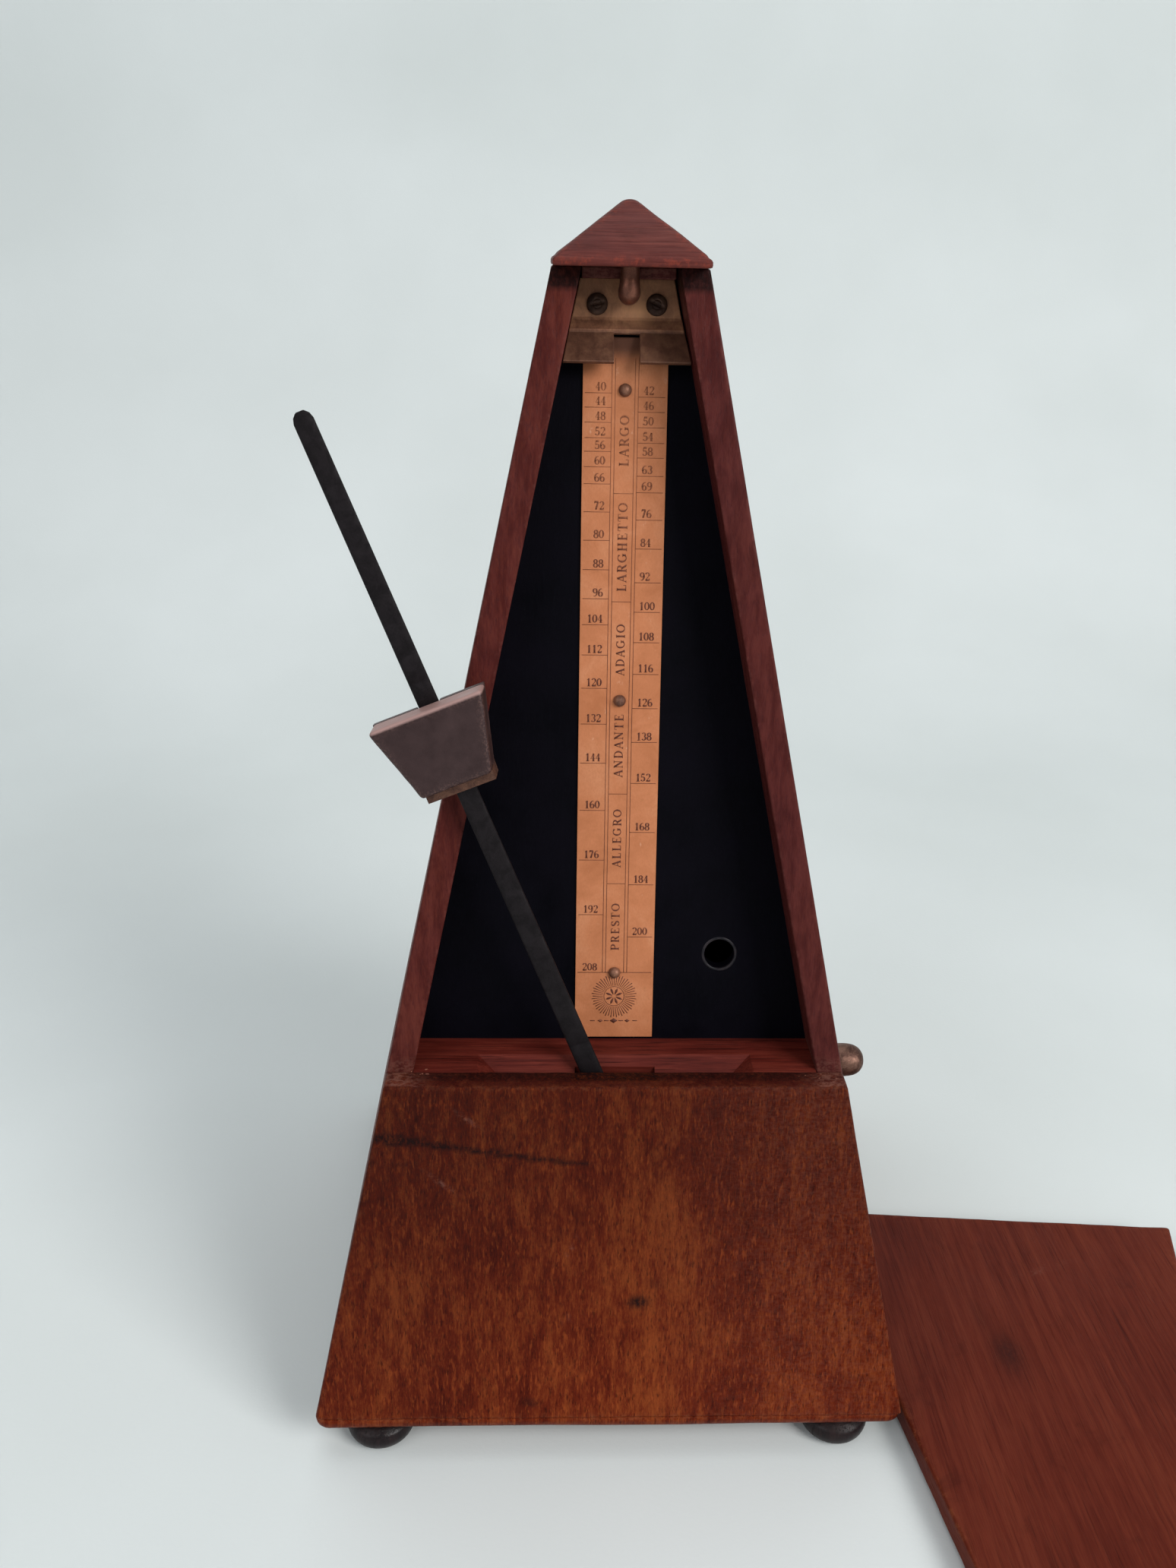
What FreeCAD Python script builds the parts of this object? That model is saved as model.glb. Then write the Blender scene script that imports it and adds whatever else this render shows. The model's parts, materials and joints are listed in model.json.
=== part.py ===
import FreeCAD, Part
import math
import os
import re
import Sketcher

# Clockwork metronome in a tapered wooden case, running with its pendulum out to the left.
# X is to the right, Y to the back and Z up; the origin is the middle of the footprint at table level.
# All sizes are in millimetres. Wall thicknesses are measured along the horizontal.

SIZES = {
    # case
    "foot_height": 6.4,
    "foot_radius": 6.8,
    "foot_x": 45.3,
    "foot_y": 50.2,
    "case_bottom": 9.5,
    "shelf_top": 76.5,
    "case_top": 215.5,
    "half_base": 57.0,
    "half_top": 13.2,
    "wall": 5.0,
    "floor_thick": 4.0,
    "edge_round": 2.2,
    "shelf_thick": 4.5,
    "rim_height": 1.3,
    "apex_height": 226.0,
    "apex_half": 0.5,
    # shelf trough and slot for the pendulum
    "trough_back": 32.4,
    "trough_half": 26.0,
    "trough_floor_half": 20.5,
    "trough_depth": 3.4,
    "slot_half": 7.6,
    "slot_back": 34.3,
    "slot_front": 37.4,
    # scale board, card and bracket
    "board_back": 15.7,
    "board_thick": 2.5,
    "key_hole_x": 20.2,
    "key_hole_height": 93.4,
    "key_hole_radius": 3.0,
    "card_half": 7.5,
    "card_thick": 0.4,
    "card_low": 77.1,
    "card_high": 204.0,
    "pin_radius": 1.15,
    "pin_low": 89.9,
    "pin_mid": 141.4,
    "pin_high": 195.3,
    "brass_sheet": 0.8,
    "bracket_gap": 0.4,
    "bracket_top": 213.4,
    "bracket_crease": 206.0,
    "bracket_low": 199.8,
    "lip_forward": 5.2,
    "notch_half": 2.25,
    "notch_top": 204.4,
    "screw_x": 5.2,
    "screw_height": 209.4,
    "screw_head": 1.85,
    # swivelling latch under the cap, and the loose door
    "latch_y": 5.6,
    "latch_stem": 1.6,
    "latch_boss": 2.1,
    "latch_drop": 2.9,
    "latch_low": 209.9,
    "latch_reach": 4.4,
    "door_x": 94.0,
    "door_y": 1.6,
    "door_turn": 4.2,
    "door_gap": 0.6,
    # movement frame
    "plate_left_x": 24.0,
    "plate_right_x": 24.0,
    "plate_thick": 1.6,
    "plate_front": 29.0,
    "plate_back": 33.0,
    "plate_top": 70.0,
    "pillar_radius": 2.0,
    "pillar_inset": 4.0,
    "running_gap": 0.05,
    # going train: arbor places seen from the side
    "great_y": 8.0,
    "great_z": 39.0,
    "second_y": -4.4,
    "second_z": 54.8,
    "escape_y": -14.0,
    "pivot_z": 64.4,
    "great_teeth": 72,
    "second_teeth": 60,
    "pinion_leaves": 8,
    "crown_teeth": 15,
    "ratchet_teeth": 24,
    "great_x": 6.0,
    "wheel_thick": 1.6,
    "second_x": 14.0,
    "thin_wheel": 1.0,
    "ratchet_x": 3.8,
    "ratchet_radius": 8.0,
    "click_post": 10.9,
    "click_lead": 0.87,
    "cam_x": 9.4,
    "cam_radius": 7.0,
    "arbor_radius": 2.5,
    "winding_radius": 2.1,
    "winding_end": 49.2,
    "square_half": 1.4,
    "crown_x": 2.8,
    "crown_depth": 3.8,
    "crown_radius": 7.2,
    "spring_low_x": -19.5,
    "spring_width": 13.0,
    "spring_inner": 2.6,
    "spring_outer": 14.0,
    "spring_thick": 0.45,
    "spring_turns": 7,
    # pendulum
    "swing_y": 36.2,
    "rest_tilt": 22.5,
    "verge_radius": 1.0,
    "verge_back": -1.2,
    "pallet_reach": 2.35,
    "rod_width": 4.0,
    "rod_tip_width": 3.4,
    "rod_thick": 0.9,
    "rod_length": 140.0,
    "rod_lean": 5.5,
    "crank_height": 10.0,
    "rod_tail": 34.0,
    "bob_drop": 30.0,
    "bob_radius": 13.0,
    "bob_thick": 11.0,
    "weight_centre": 81.5,
    "weight_height": 14.0,
    "weight_top_half": 10.5,
    "weight_low_half": 6.5,
    "weight_thick": 6.0,
    "slide_gap": 0.06,
    # bell
    "bell_x": 35.0,
    "bell_y": 8.0,
    "bell_rim": 26.0,
    "bell_radius": 9.6,
    "bell_height": 7.5,
    "hammer_y": 27.0,
    "hammer_z": 54.0,
    "hammer_head": 2.2,
    "hammer_gap": 0.5,
    # bell selector
    "selector_y": -12.0,
    "selector_z": 60.9,
    "selector_radius": 1.2,
    "selector_end": 16.8,
    "knob_radius": 3.45,
    "knob_start": 46.8,
    "knob_end": 53.6,
}

X_AXIS = FreeCAD.Vector(1, 0, 0)
Y_AXIS = FreeCAD.Vector(0, 1, 0)
Z_AXIS = FreeCAD.Vector(0, 0, 1)

doc = FreeCAD.newDocument("metronome")
sheet = doc.addObject("Spreadsheet::Sheet", "Sizes")
for row, (alias, value) in enumerate(SIZES.items(), start=1):
    sheet.set("A%d" % row, alias)
    sheet.set("B%d" % row, str(value))
    sheet.setAlias("B%d" % row, alias)
doc.recompute()

NODES = {}


def cells(text):
    """Turn the words of a formula into references to the sheet's cells."""
    return re.sub(r"[a-z_][a-z_0-9]*", lambda word: cell_name(word.group(0)), str(text))


def cell_name(word):
    return "Sizes." + word if word in SIZES else word


def number(text):
    """Work out a formula's present value from the sheet."""
    words = set(re.findall(r"[a-z_]+[a-z_0-9]*", str(text)))
    probe = str(text)
    for word in sorted(words, key=len, reverse=True):
        probe = re.sub(r"\b%s\b" % word, "(%r)" % float(sheet.get(word)), probe)
    return float(FreeCAD.Units.parseQuantity(probe))


def bind(obj, **formulas):
    for prop, text in formulas.items():
        obj.setExpression(prop, cells(text))
    return obj


def place(obj, x="0", y="0", z="0", rotation=None):
    """Put an object at a point given by three formulas."""
    if rotation is not None:
        obj.Placement = FreeCAD.Placement(FreeCAD.Vector(), rotation)
    for axis, text in zip("xyz", (x, y, z)):
        obj.setExpression("Placement.Base." + axis, cells(text))
    return obj


def node(name, obj):
    obj.Label = name
    NODES[name] = obj
    return obj


def half(height):
    """Half of the case's outer width at a height."""
    return "(half_base - ((%s) - case_bottom) * (half_base - half_top) / (case_top - case_bottom))" % height


def block(name, x, y, z):
    """A box between two formulas along each axis."""
    obj = doc.addObject("Part::Box", name)
    bind(obj, Length="(%s) - (%s)" % (x[1], x[0]), Width="(%s) - (%s)" % (y[1], y[0]))
    bind(obj, Height="(%s) - (%s)" % (z[1], z[0]))
    return place(obj, x[0], y[0], z[0])


AXIS_TURNS = {
    "x": FreeCAD.Rotation(Y_AXIS, 90),
    "y": FreeCAD.Rotation(X_AXIS, -90),
    "z": FreeCAD.Rotation(),
}


def round_bar(name, axis, radius, start, length):
    """A cylinder that starts at a point and runs along an axis."""
    obj = doc.addObject("Part::Cylinder", name)
    bind(obj, Radius=radius, Height=length)
    return place(obj, *start, rotation=AXIS_TURNS[axis])


def taper(name, low_z, high_z, low, high):
    """A straight-sided prism from one level rectangle (x0, x1, y0, y1) to another above it."""
    obj = doc.addObject("Part::Wedge", name)
    bind(obj, Ymin="0", Ymax="(%s) - (%s)" % (high_z, low_z))
    bind(obj, Xmin=low[0], Xmax=low[1], Zmin="-(%s)" % low[3], Zmax="-(%s)" % low[2])
    bind(obj, X2min=high[0], X2max=high[1], Z2min="-(%s)" % high[3], Z2max="-(%s)" % high[2])
    return place(obj, z=low_z, rotation=FreeCAD.Rotation(X_AXIS, 90))


def joined(name, *parts):
    obj = doc.addObject("Part::MultiFuse", name)
    obj.Shapes = list(parts)
    return obj


def cut(name, base, *tools):
    obj = doc.addObject("Part::Cut", name)
    obj.Base = base
    obj.Tool = tools[0] if len(tools) == 1 else joined(name + "_tools", *tools)
    return obj


def sketch_on(body, role, name):
    sketch = body.newObject("Sketcher::SketchObject", name)
    plane = [item for item in body.Origin.OriginFeatures if item.Role == role][0]
    sketch.AttachmentSupport = [(plane, "")]
    sketch.MapMode = "FlatFace"
    return sketch


def outline(sketch, points):
    """A closed outline of straight lines, with every corner held by two formulas."""
    spots = [FreeCAD.Vector(number(a), number(b), 0) for a, b in points]
    first = sketch.GeometryCount
    count = len(points)
    for index in range(count):
        line = Part.LineSegment(spots[index], spots[(index + 1) % count])
        sketch.addGeometry(line, False)
    for index in range(count):
        after = first + (index + 1) % count
        sketch.addConstraint(Sketcher.Constraint("Coincident", first + index, 2, after, 1))
    for index, corner in enumerate(points):
        for kind, text in zip(("DistanceX", "DistanceY"), corner):
            rule = Sketcher.Constraint(kind, -1, 1, first + index, 1, number(text))
            place_in_list = sketch.addConstraint(rule)
            sketch.setExpression("Constraints[%d]" % place_in_list, cells(text))


def circle(sketch, x, y, radius):
    centre = FreeCAD.Vector(number(x), number(y), 0)
    index = sketch.addGeometry(Part.Circle(centre, Z_AXIS, number(radius)), False)
    rules = (("DistanceX", x), ("DistanceY", y))
    for kind, text in rules:
        rule = Sketcher.Constraint(kind, -1, 1, index, 3, number(text))
        sketch.setExpression("Constraints[%d]" % sketch.addConstraint(rule), cells(text))
    rule = Sketcher.Constraint("Radius", index, number(radius))
    sketch.setExpression("Constraints[%d]" % sketch.addConstraint(rule), cells(radius))


def turned(name, points):
    """A body turned about its own Z axis from (radius, height) points."""
    body = doc.addObject("PartDesign::Body", name)
    sketch = sketch_on(body, "XZ_Plane", name + "_profile")
    outline(sketch, points)
    revolution = body.newObject("PartDesign::Revolution", name + "_turning")
    revolution.Profile = sketch
    revolution.ReferenceAxis = (sketch, ["V_Axis"])
    revolution.Angle = 360
    return body


def padded(name, role, points, thick, holes=()):
    """A body of one outline padded to a thickness, with round holes through it."""
    body = doc.addObject("PartDesign::Body", name)
    sketch = sketch_on(body, role, name + "_outline")
    outline(sketch, points)
    for hole in holes:
        circle(sketch, *hole)
    pad = body.newObject("PartDesign::Pad", name + "_pad")
    pad.Profile = sketch
    bind(pad, Length=thick)
    return body


def shape_node(name, shape):
    """A piece whose shape comes from a formula that no primitive covers."""
    obj = doc.addObject("Part::Feature", name)
    obj.Shape = shape
    return node(name, obj)


# ---------------------------------------------------------------- wooden case

def board_face(height, offset="0"):
    """The scale board's front face at a height, moved back by an offset."""
    return "(board_back - %s + (%s))" % (half(height), offset)


def full_slab(name, low_z, high_z, back_low, back_high):
    """A slab as wide as the case, between two distances behind its front face."""
    low = ("-" + half(low_z), half(low_z), "-%s + %s" % (half(low_z), back_low))
    high = ("-" + half(high_z), half(high_z), "-%s + %s" % (half(high_z), back_low))
    low += ("-%s + %s" % (half(low_z), back_high),)
    high += ("-%s + %s" % (half(high_z), back_high),)
    return taper(name, low_z, high_z, low, high)


def build_base():
    lip = block("base_lip", ("-half_base", "half_base"), ("-half_base", "half_base"),
                ("foot_height", "case_bottom"))
    rounded = doc.addObject("Part::Fillet", "base_lip_round")
    rounded.Base = lip
    doc.recompute()
    edges = []
    for index, edge in enumerate(lip.Shape.Edges, start=1):
        box = edge.BoundBox
        if box.ZLength > 0.5 or box.ZMax < number("foot_height") + 0.1:
            edges.append((index, number("edge_round"), number("edge_round")))
    rounded.Edges = edges
    inside_low = "(half_base - wall)"
    inside_high = "(%s - wall)" % half("case_bottom + floor_thick")
    core = taper("base_core", "case_bottom", "case_bottom + floor_thick",
                 ("-" + inside_low, inside_low, "-" + inside_low, inside_low),
                 ("-" + inside_high, inside_high, "-" + inside_high, inside_high))
    board = joined("base_board_whole", rounded, core)
    shanks = foot_shanks()
    node("base_board", cut("base_board_drilled", board, *shanks, *BASE_TOOLS))


FOOT_PLACES = {
    "front_left": ("-foot_x", "-foot_y"),
    "front_right": ("foot_x", "-foot_y"),
    "rear_left": ("-foot_x", "foot_y"),
    "rear_right": ("foot_x", "foot_y"),
}
FOOT_SCREW_RADIUS = "1.2"
FOOT_SCREW_LOW = "2.2"
BASE_TOOLS = []


def foot_shanks():
    return [round_bar("shank_hole_" + name, "z", FOOT_SCREW_RADIUS, (x, y, FOOT_SCREW_LOW),
                      "foot_height + 4.2 - %s" % FOOT_SCREW_LOW)
            for name, (x, y) in FOOT_PLACES.items()]


def build_feet():
    profile = [("0", "0"), ("foot_radius * 0.62", "0"), ("foot_radius * 0.9", "foot_height * 0.2"),
               ("foot_radius", "foot_height * 0.45"), ("foot_radius * 0.94", "foot_height * 0.72"),
               ("foot_radius * 0.7", "foot_height * 0.86"), ("foot_radius * 0.7", "foot_height"),
               ("0", "foot_height")]
    screws = []
    for name, (x, y) in FOOT_PLACES.items():
        bun = place(turned("bun_" + name, profile), x, y)
        shank = round_bar("foot_shank_" + name, "z", FOOT_SCREW_RADIUS, (x, y, FOOT_SCREW_LOW),
                          "foot_height + 4.2 - %s" % FOOT_SCREW_LOW)
        head = round_bar("foot_head_" + name, "z", "2.3", (x, y, "0.9"), "1.3")
        screws.append(joined("foot_screw_" + name, shank, head))
        mouth = round_bar("foot_mouth_" + name, "z", "2.3", (x, y, "0"), "0.9")
        node("foot_" + name, cut("foot_drilled_" + name, bun, screws[-1], mouth))
    node("foot_screws", joined("foot_screw_set", *screws))


def build_case():
    node("front_panel", full_slab("front_slab", "case_bottom", "shelf_top", "0", "wall"))
    back_low = "half_base - wall"
    back_high = "half_top - wall"
    back = taper("back_slab", "case_bottom", "case_top",
                 ("-half_base", "half_base", back_low, "half_base"),
                 ("-half_top", "half_top", back_high, "half_top"))
    node("back_panel", back)
    left = taper("left_slab", "case_bottom", "case_top",
                 ("-half_base", "wall - half_base", "wall - half_base", back_low),
                 ("-half_top", "wall - half_top", "wall - half_top", back_high))
    node("left_side", left)
    right = taper("right_slab", "case_bottom", "case_top",
                  ("half_base - wall", "half_base", "wall - half_base", back_low),
                  ("half_top - wall", "half_top", "wall - half_top", back_high))
    arbor_hole = round_bar("arbor_hole", "x", "4.0", ("40", "great_y", "great_z"), "20")
    selector_hole = round_bar("selector_hole", "x", "selector_radius + running_gap",
                              ("30", "selector_y", "selector_z"), "30")
    node("right_side", cut("right_drilled", right, arbor_hole, selector_hole))
    ring_low = "(%s - wall)" % half("great_z")
    ring = round_bar("ring_disc", "x", "4.0", (ring_low, "great_y", "great_z"), "wall + 0.2")
    bore = round_bar("ring_bore", "x", "winding_radius + 0.4", ("40", "great_y", "great_z"), "20")
    node("winding_bush", cut("winding_ring", ring, bore))


def build_cap():
    rim = taper("cap_rim", "case_top", "case_top + rim_height",
                ("-half_top", "half_top", "-half_top", "half_top"),
                ("-half_top", "half_top", "-half_top", "half_top"))
    roof = taper("cap_roof", "case_top + rim_height", "apex_height",
                 ("-half_top", "half_top", "-half_top", "half_top"),
                 ("-apex_half", "apex_half", "-apex_half", "apex_half"))
    socket = round_bar("latch_socket", "z", "latch_stem + running_gap", ("0", "-latch_y", "case_top - 1"),
                       "4.1")
    node("cap", cut("cap_drilled", joined("cap_whole", rim, roof), socket))


def build_shelf():
    low_z = "(shelf_top - shelf_thick)"
    reach_low = "(%s - wall)" % half(low_z)
    reach_high = "(%s - wall)" % half("shelf_top")
    board = taper("shelf_slab", low_z, "shelf_top",
                  ("-" + reach_low, reach_low, "-" + reach_low, reach_low),
                  ("-" + reach_high, reach_high, "-" + reach_high, reach_high))
    floor_z = "(shelf_top - trough_depth)"
    floor_front = "-(%s - wall) - 0.5" % half("shelf_top - trough_depth")
    top_front = "-(%s - wall) - 0.5" % half("shelf_top")
    trough = taper("trough", floor_z, "shelf_top + 0.01",
                   ("-trough_floor_half", "trough_floor_half", floor_front, "-slot_front + 0.5"),
                   ("-trough_half", "trough_half", top_front, "-trough_back"))
    slot = block("slot", ("-slot_half", "slot_half"), ("-slot_front", "-slot_back"),
                 ("shelf_top - 10", "shelf_top + 1"))
    node("shelf", cut("shelf_cut", board, trough, slot))


def build_scale():
    low_half = "(%s - wall)" % half("shelf_top")
    high_half = "(%s - wall)" % half("case_top")
    board = taper("board_slab", "shelf_top", "case_top",
                  ("-" + low_half, low_half, board_face("shelf_top"),
                   board_face("shelf_top", "board_thick")),
                  ("-" + high_half, high_half, board_face("case_top"),
                   board_face("case_top", "board_thick")))
    key_hole = round_bar("key_hole", "y", "key_hole_radius", ("key_hole_x", "-40", "key_hole_height"), "40")
    card = taper("card_slab", "card_low", "card_high",
                 ("-card_half", "card_half", board_face("card_low", "-card_thick"),
                  board_face("card_low")),
                 ("-card_half", "card_half", board_face("card_high", "-card_thick"),
                  board_face("card_high")))
    pins = []
    for name in ("pin_low", "pin_mid", "pin_high"):
        head = doc.addObject("Part::Sphere", name + "_head")
        bind(head, Radius="pin_radius", Angle1="0")
        tilt = FreeCAD.Rotation(X_AXIS, 90)
        place(head, "0", board_face(name, "-card_thick"), name, rotation=tilt)
        shank = round_bar(name + "_shank", "y", "0.4", ("0", board_face(name, "-card_thick - 0.4"), name),
                          "2.2")
        pins.append(joined(name + "_whole", head, shank))
    pin_set = joined("pin_set", *pins)
    node("scale_card", cut("card_pinned", card, pin_set))
    screws = bracket_screw_set()
    node("scale_board", cut("board_drilled", board, key_hole, pin_set, screws))
    node("scale_pins", pin_set)
    build_bracket(screws)


def bracket_screw_set():
    screws = []
    for side, x in (("left", "-screw_x"), ("right", "screw_x")):
        face = board_face("screw_height", "-brass_sheet")
        shank = round_bar("bracket_shank_" + side, "y", "0.9", (x, face, "screw_height"), "3.0")
        head = round_bar("bracket_head_" + side, "y", "screw_head",
                         (x, face + " - 0.7", "screw_height"), "0.7")
        slit = block("bracket_slit_" + side, (x + " - 3", x + " + 3"), (face + " - 1", face + " - 0.4"),
                     ("screw_height - 0.25", "screw_height + 0.25"))
        screws.append(cut("bracket_screw_" + side, joined("bracket_bolt_" + side, shank, head), slit))
    return joined("bracket_screw_set", *screws)


def build_bracket(screws):
    def reach(height):
        return "(%s - wall - bracket_gap)" % half(height)

    crease_face = board_face("bracket_crease")
    plate = taper("bracket_plate", "bracket_crease", "bracket_top",
                  ("-" + reach("bracket_crease"), reach("bracket_crease"),
                   crease_face + " - brass_sheet", crease_face),
                  ("-" + reach("bracket_top"), reach("bracket_top"),
                   board_face("bracket_top", "-brass_sheet"), board_face("bracket_top")))
    lip = taper("bracket_lip", "bracket_low", "bracket_crease",
                ("-" + reach("bracket_low"), reach("bracket_low"),
                 crease_face + " - lip_forward - brass_sheet", crease_face + " - lip_forward"),
                ("-" + reach("bracket_crease"), reach("bracket_crease"),
                 crease_face + " - brass_sheet", crease_face))
    notch = block("bracket_notch", ("-notch_half", "notch_half"), ("-20", "6"),
                  ("bracket_low - 1", "notch_top"))
    node("top_bracket", cut("bracket_cut", joined("bracket_bent", plate, lip), notch, screws))
    node("bracket_screws", screws)


def build_latch():
    stem = round_bar("latch_pin", "z", "latch_stem", ("0", "-latch_y", "case_top - latch_drop - 1"),
                     "latch_drop + 4")
    boss = round_bar("latch_disc", "z", "latch_boss", ("0", "-latch_y", "latch_low"),
                     "case_top - latch_drop - latch_low")
    beak = block("latch_beak", ("-1.2", "1.2"), ("-latch_y", "latch_reach - latch_y"),
                 ("latch_low", "case_top - latch_drop"))
    node("door_latch", joined("latch_whole", stem, boss, beak))


def build_door():
    """The front cover, lying face up beside the case with its wide end to the back."""
    body = doc.addObject("PartDesign::Body", "door_board")
    sketch = sketch_on(body, "XY_Plane", "door_outline")
    length = "((case_top - shelf_top) * 1.02235)"
    outline(sketch, [("-half_top", "-" + length), ("half_top", "-" + length),
                     (half("shelf_top"), "0"), ("-" + half("shelf_top"), "0")])
    pad = body.newObject("PartDesign::Pad", "door_pad")
    pad.Profile = sketch
    bind(pad, Length="wall * 0.978")
    pocket_sketch = sketch_on(body, "XY_Plane", "door_hollow")
    outline(pocket_sketch, [("-8", "-120"), ("8", "-120"), ("14", "-20"), ("-14", "-20")])
    pocket = body.newObject("PartDesign::Pocket", "door_pocket")
    pocket.Profile = pocket_sketch
    pocket.Length = 2.6
    pocket.Reversed = True
    place(body, "door_x", "door_y", "door_gap", rotation=FreeCAD.Rotation(Z_AXIS, -number("door_turn")))
    node("door", body)


# ---------------------------------------------------------------- movement frame

PILLAR_PLACES = (
    ("front_low", "pillar_inset - plate_front", "case_bottom + floor_thick + pillar_inset + 2"),
    ("rear_low", "plate_back - pillar_inset", "case_bottom + floor_thick + pillar_inset + 2"),
    ("front_high", "pillar_inset - plate_front", "pivot_z - 9.4"),
    ("rear_high", "plate_back - pillar_inset", "plate_top - pillar_inset"),
)


def build_frame():
    floor = "(case_bottom + floor_thick)"
    corners = [("-plate_front", floor), ("plate_back", floor), ("plate_back", "plate_top"),
               ("-plate_front", "plate_top")]
    bolt = "1.2"
    pillar_holes = [(y, z, bolt) for _, y, z in PILLAR_PLACES]
    pivot = "1.0 + running_gap"
    shared = pillar_holes + [("second_y", "second_z", pivot), ("hammer_y", "hammer_z", pivot)]
    left_holes = shared + [("great_y", "great_z", "1.5 + running_gap")]
    right_holes = shared + [("great_y", "great_z", "winding_radius + running_gap"),
                            ("escape_y", "pivot_z", "0.6 + running_gap"),
                            ("selector_y", "selector_z", "selector_radius + running_gap")]
    left = padded("left_frame", "YZ_Plane", corners, "plate_thick", left_holes)
    node("plate_left", place(left, x="-plate_left_x"))
    right = padded("right_frame", "YZ_Plane", corners, "plate_thick", right_holes)
    node("plate_right", place(right, x="plate_right_x - plate_thick"))
    pillars = []
    screws = []
    inner = "plate_left_x + plate_right_x - 2 * plate_thick"
    for name, y, z in PILLAR_PLACES:
        bar = round_bar("pillar_" + name, "x", "pillar_radius", ("plate_thick - plate_left_x", y, z), inner)
        ends = []
        for side, start in (("left", "-plate_left_x"), ("right", "plate_right_x - plate_thick - 4")):
            ends.append(round_bar("tap_%s_%s" % (name, side), "x", bolt, (start, y, z),
                                  "plate_thick + 4"))
        pillars.append(cut("pillar_tapped_" + name, bar, *ends))
        for side, start, head in (("left", "-plate_left_x", "-plate_left_x - 1.2"),
                                  ("right", "plate_right_x - plate_thick - 4", "plate_right_x")):
            shank = round_bar("bolt_%s_%s" % (name, side), "x", bolt, (start, y, z), "plate_thick + 4")
            cap = round_bar("bolt_head_%s_%s" % (name, side), "x", "2.1", (head, y, z), "1.2")
            screws.append(joined("pillar_bolt_%s_%s" % (name, side), shank, cap))
    node("plate_pillars", joined("pillar_set", *pillars))
    node("pillar_screws", joined("pillar_bolt_set", *screws))


def build_seats():
    """Two angle brackets that hold the frame to the base board."""
    floor = "(case_bottom + floor_thick)"
    angles = []
    screws = []
    for side, face, out in (("left", "-plate_left_x", "-1"), ("right", "plate_right_x", "1")):
        low, high = sorted((face, "%s + %s * 7" % (face, out)), key=number)
        foot = block("seat_foot_" + side, (low, high), ("12", "20"), (floor, floor + " + 1.2"))
        low, high = sorted((face, "%s + %s * 1.2" % (face, out)), key=number)
        wall = block("seat_wall_" + side, (low, high), ("12", "20"), (floor, floor + " + 8"))
        x = "%s + %s * 4.4" % (face, out)
        shank = round_bar("seat_shank_" + side, "z", "1.0", (x, "16", floor + " - 3.4"), "4.6")
        head = round_bar("seat_head_" + side, "z", "1.9", (x, "16", floor + " + 1.2"), "1.0")
        screws.append(joined("seat_screw_" + side, shank, head))
        angles.append(cut("seat_" + side, joined("seat_bent_" + side, foot, wall), screws[-1]))
    node("seat_brackets", joined("seat_set", *angles))
    seat_screws = joined("seat_screw_set", *screws)
    node("seat_screws", seat_screws)
    BASE_TOOLS.append(seat_screws)


# ---------------------------------------------------------------- going train

def ring_of_teeth(count, profile, turn):
    """A closed wire of repeated teeth; profile holds (radius, part of a pitch) points."""
    points = []
    for tooth in range(count):
        for radius, part in profile:
            angle = turn + (tooth + part) * 2 * math.pi / count
            points.append(FreeCAD.Vector(0, radius * math.cos(angle), radius * math.sin(angle)))
    points.append(points[0])
    return Part.Wire(Part.makePolygon(points).Edges)


def toothed_disc(count, profile, turn, low_x, thick, bore):
    """A toothed wheel on an axis along X, with a round bore."""
    blank = Part.Face(ring_of_teeth(count, profile, turn)).extrude(FreeCAD.Vector(thick, 0, 0))
    hole = Part.makeCylinder(bore, thick + 2, FreeCAD.Vector(-1, 0, 0), X_AXIS)
    wheel = blank.cut(hole)
    wheel.translate(FreeCAD.Vector(low_x, 0, 0))
    return wheel


def wheel_profile(pitch_radius, module):
    """Rounded wheel teeth, a little thinner than half the pitch."""
    return ((pitch_radius - 1.30 * module, -0.25), (pitch_radius, -0.20),
            (pitch_radius + 0.60 * module, -0.15), (pitch_radius + 0.95 * module, -0.05),
            (pitch_radius + 0.95 * module, 0.05), (pitch_radius + 0.60 * module, 0.15),
            (pitch_radius, 0.20), (pitch_radius - 1.30 * module, 0.25))


def leaf_profile(pitch_radius, module):
    """Thin radial pinion leaves with rounded tips."""
    return ((pitch_radius - 1.35 * module, -0.13), (pitch_radius, -0.13),
            (pitch_radius + 0.55 * module, -0.05), (pitch_radius + 0.55 * module, 0.05),
            (pitch_radius, 0.13), (pitch_radius - 1.35 * module, 0.13))


def with_windows(wheel, hub, rim, spokes, bar, low_x, thick):
    """Cut the openings between a wheel's spokes."""
    band = Part.makeCylinder(rim, thick, FreeCAD.Vector(low_x, 0, 0), X_AXIS)
    band = band.cut(Part.makeCylinder(hub, thick, FreeCAD.Vector(low_x, 0, 0), X_AXIS))
    for index in range(spokes):
        spoke = Part.makeBox(thick, bar, rim + 1, FreeCAD.Vector(low_x, -bar / 2, 0))
        spoke.rotate(FreeCAD.Vector(), X_AXIS, 360 * index / spokes)
        band = band.cut(spoke)
    return wheel.cut(band)


def at_arbor(obj, y, z):
    """Carry a piece drawn about the X axis to its arbor."""
    move = FreeCAD.Placement(FreeCAD.Vector(0, number(y), number(z)), FreeCAD.Rotation())
    obj.Placement = move.multiply(obj.Placement)
    return obj


def mesh_angles(wheel, pinion):
    """The gap between two arbors, and the direction from the wheel to the pinion."""
    step_y = number(pinion[0]) - number(wheel[0])
    step_z = number(pinion[1]) - number(wheel[1])
    return math.hypot(step_y, step_z), math.atan2(step_z, step_y)


GREAT = ("great_y", "great_z")
SECOND = ("second_y", "second_z")
ESCAPE = ("escape_y", "pivot_z")


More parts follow.
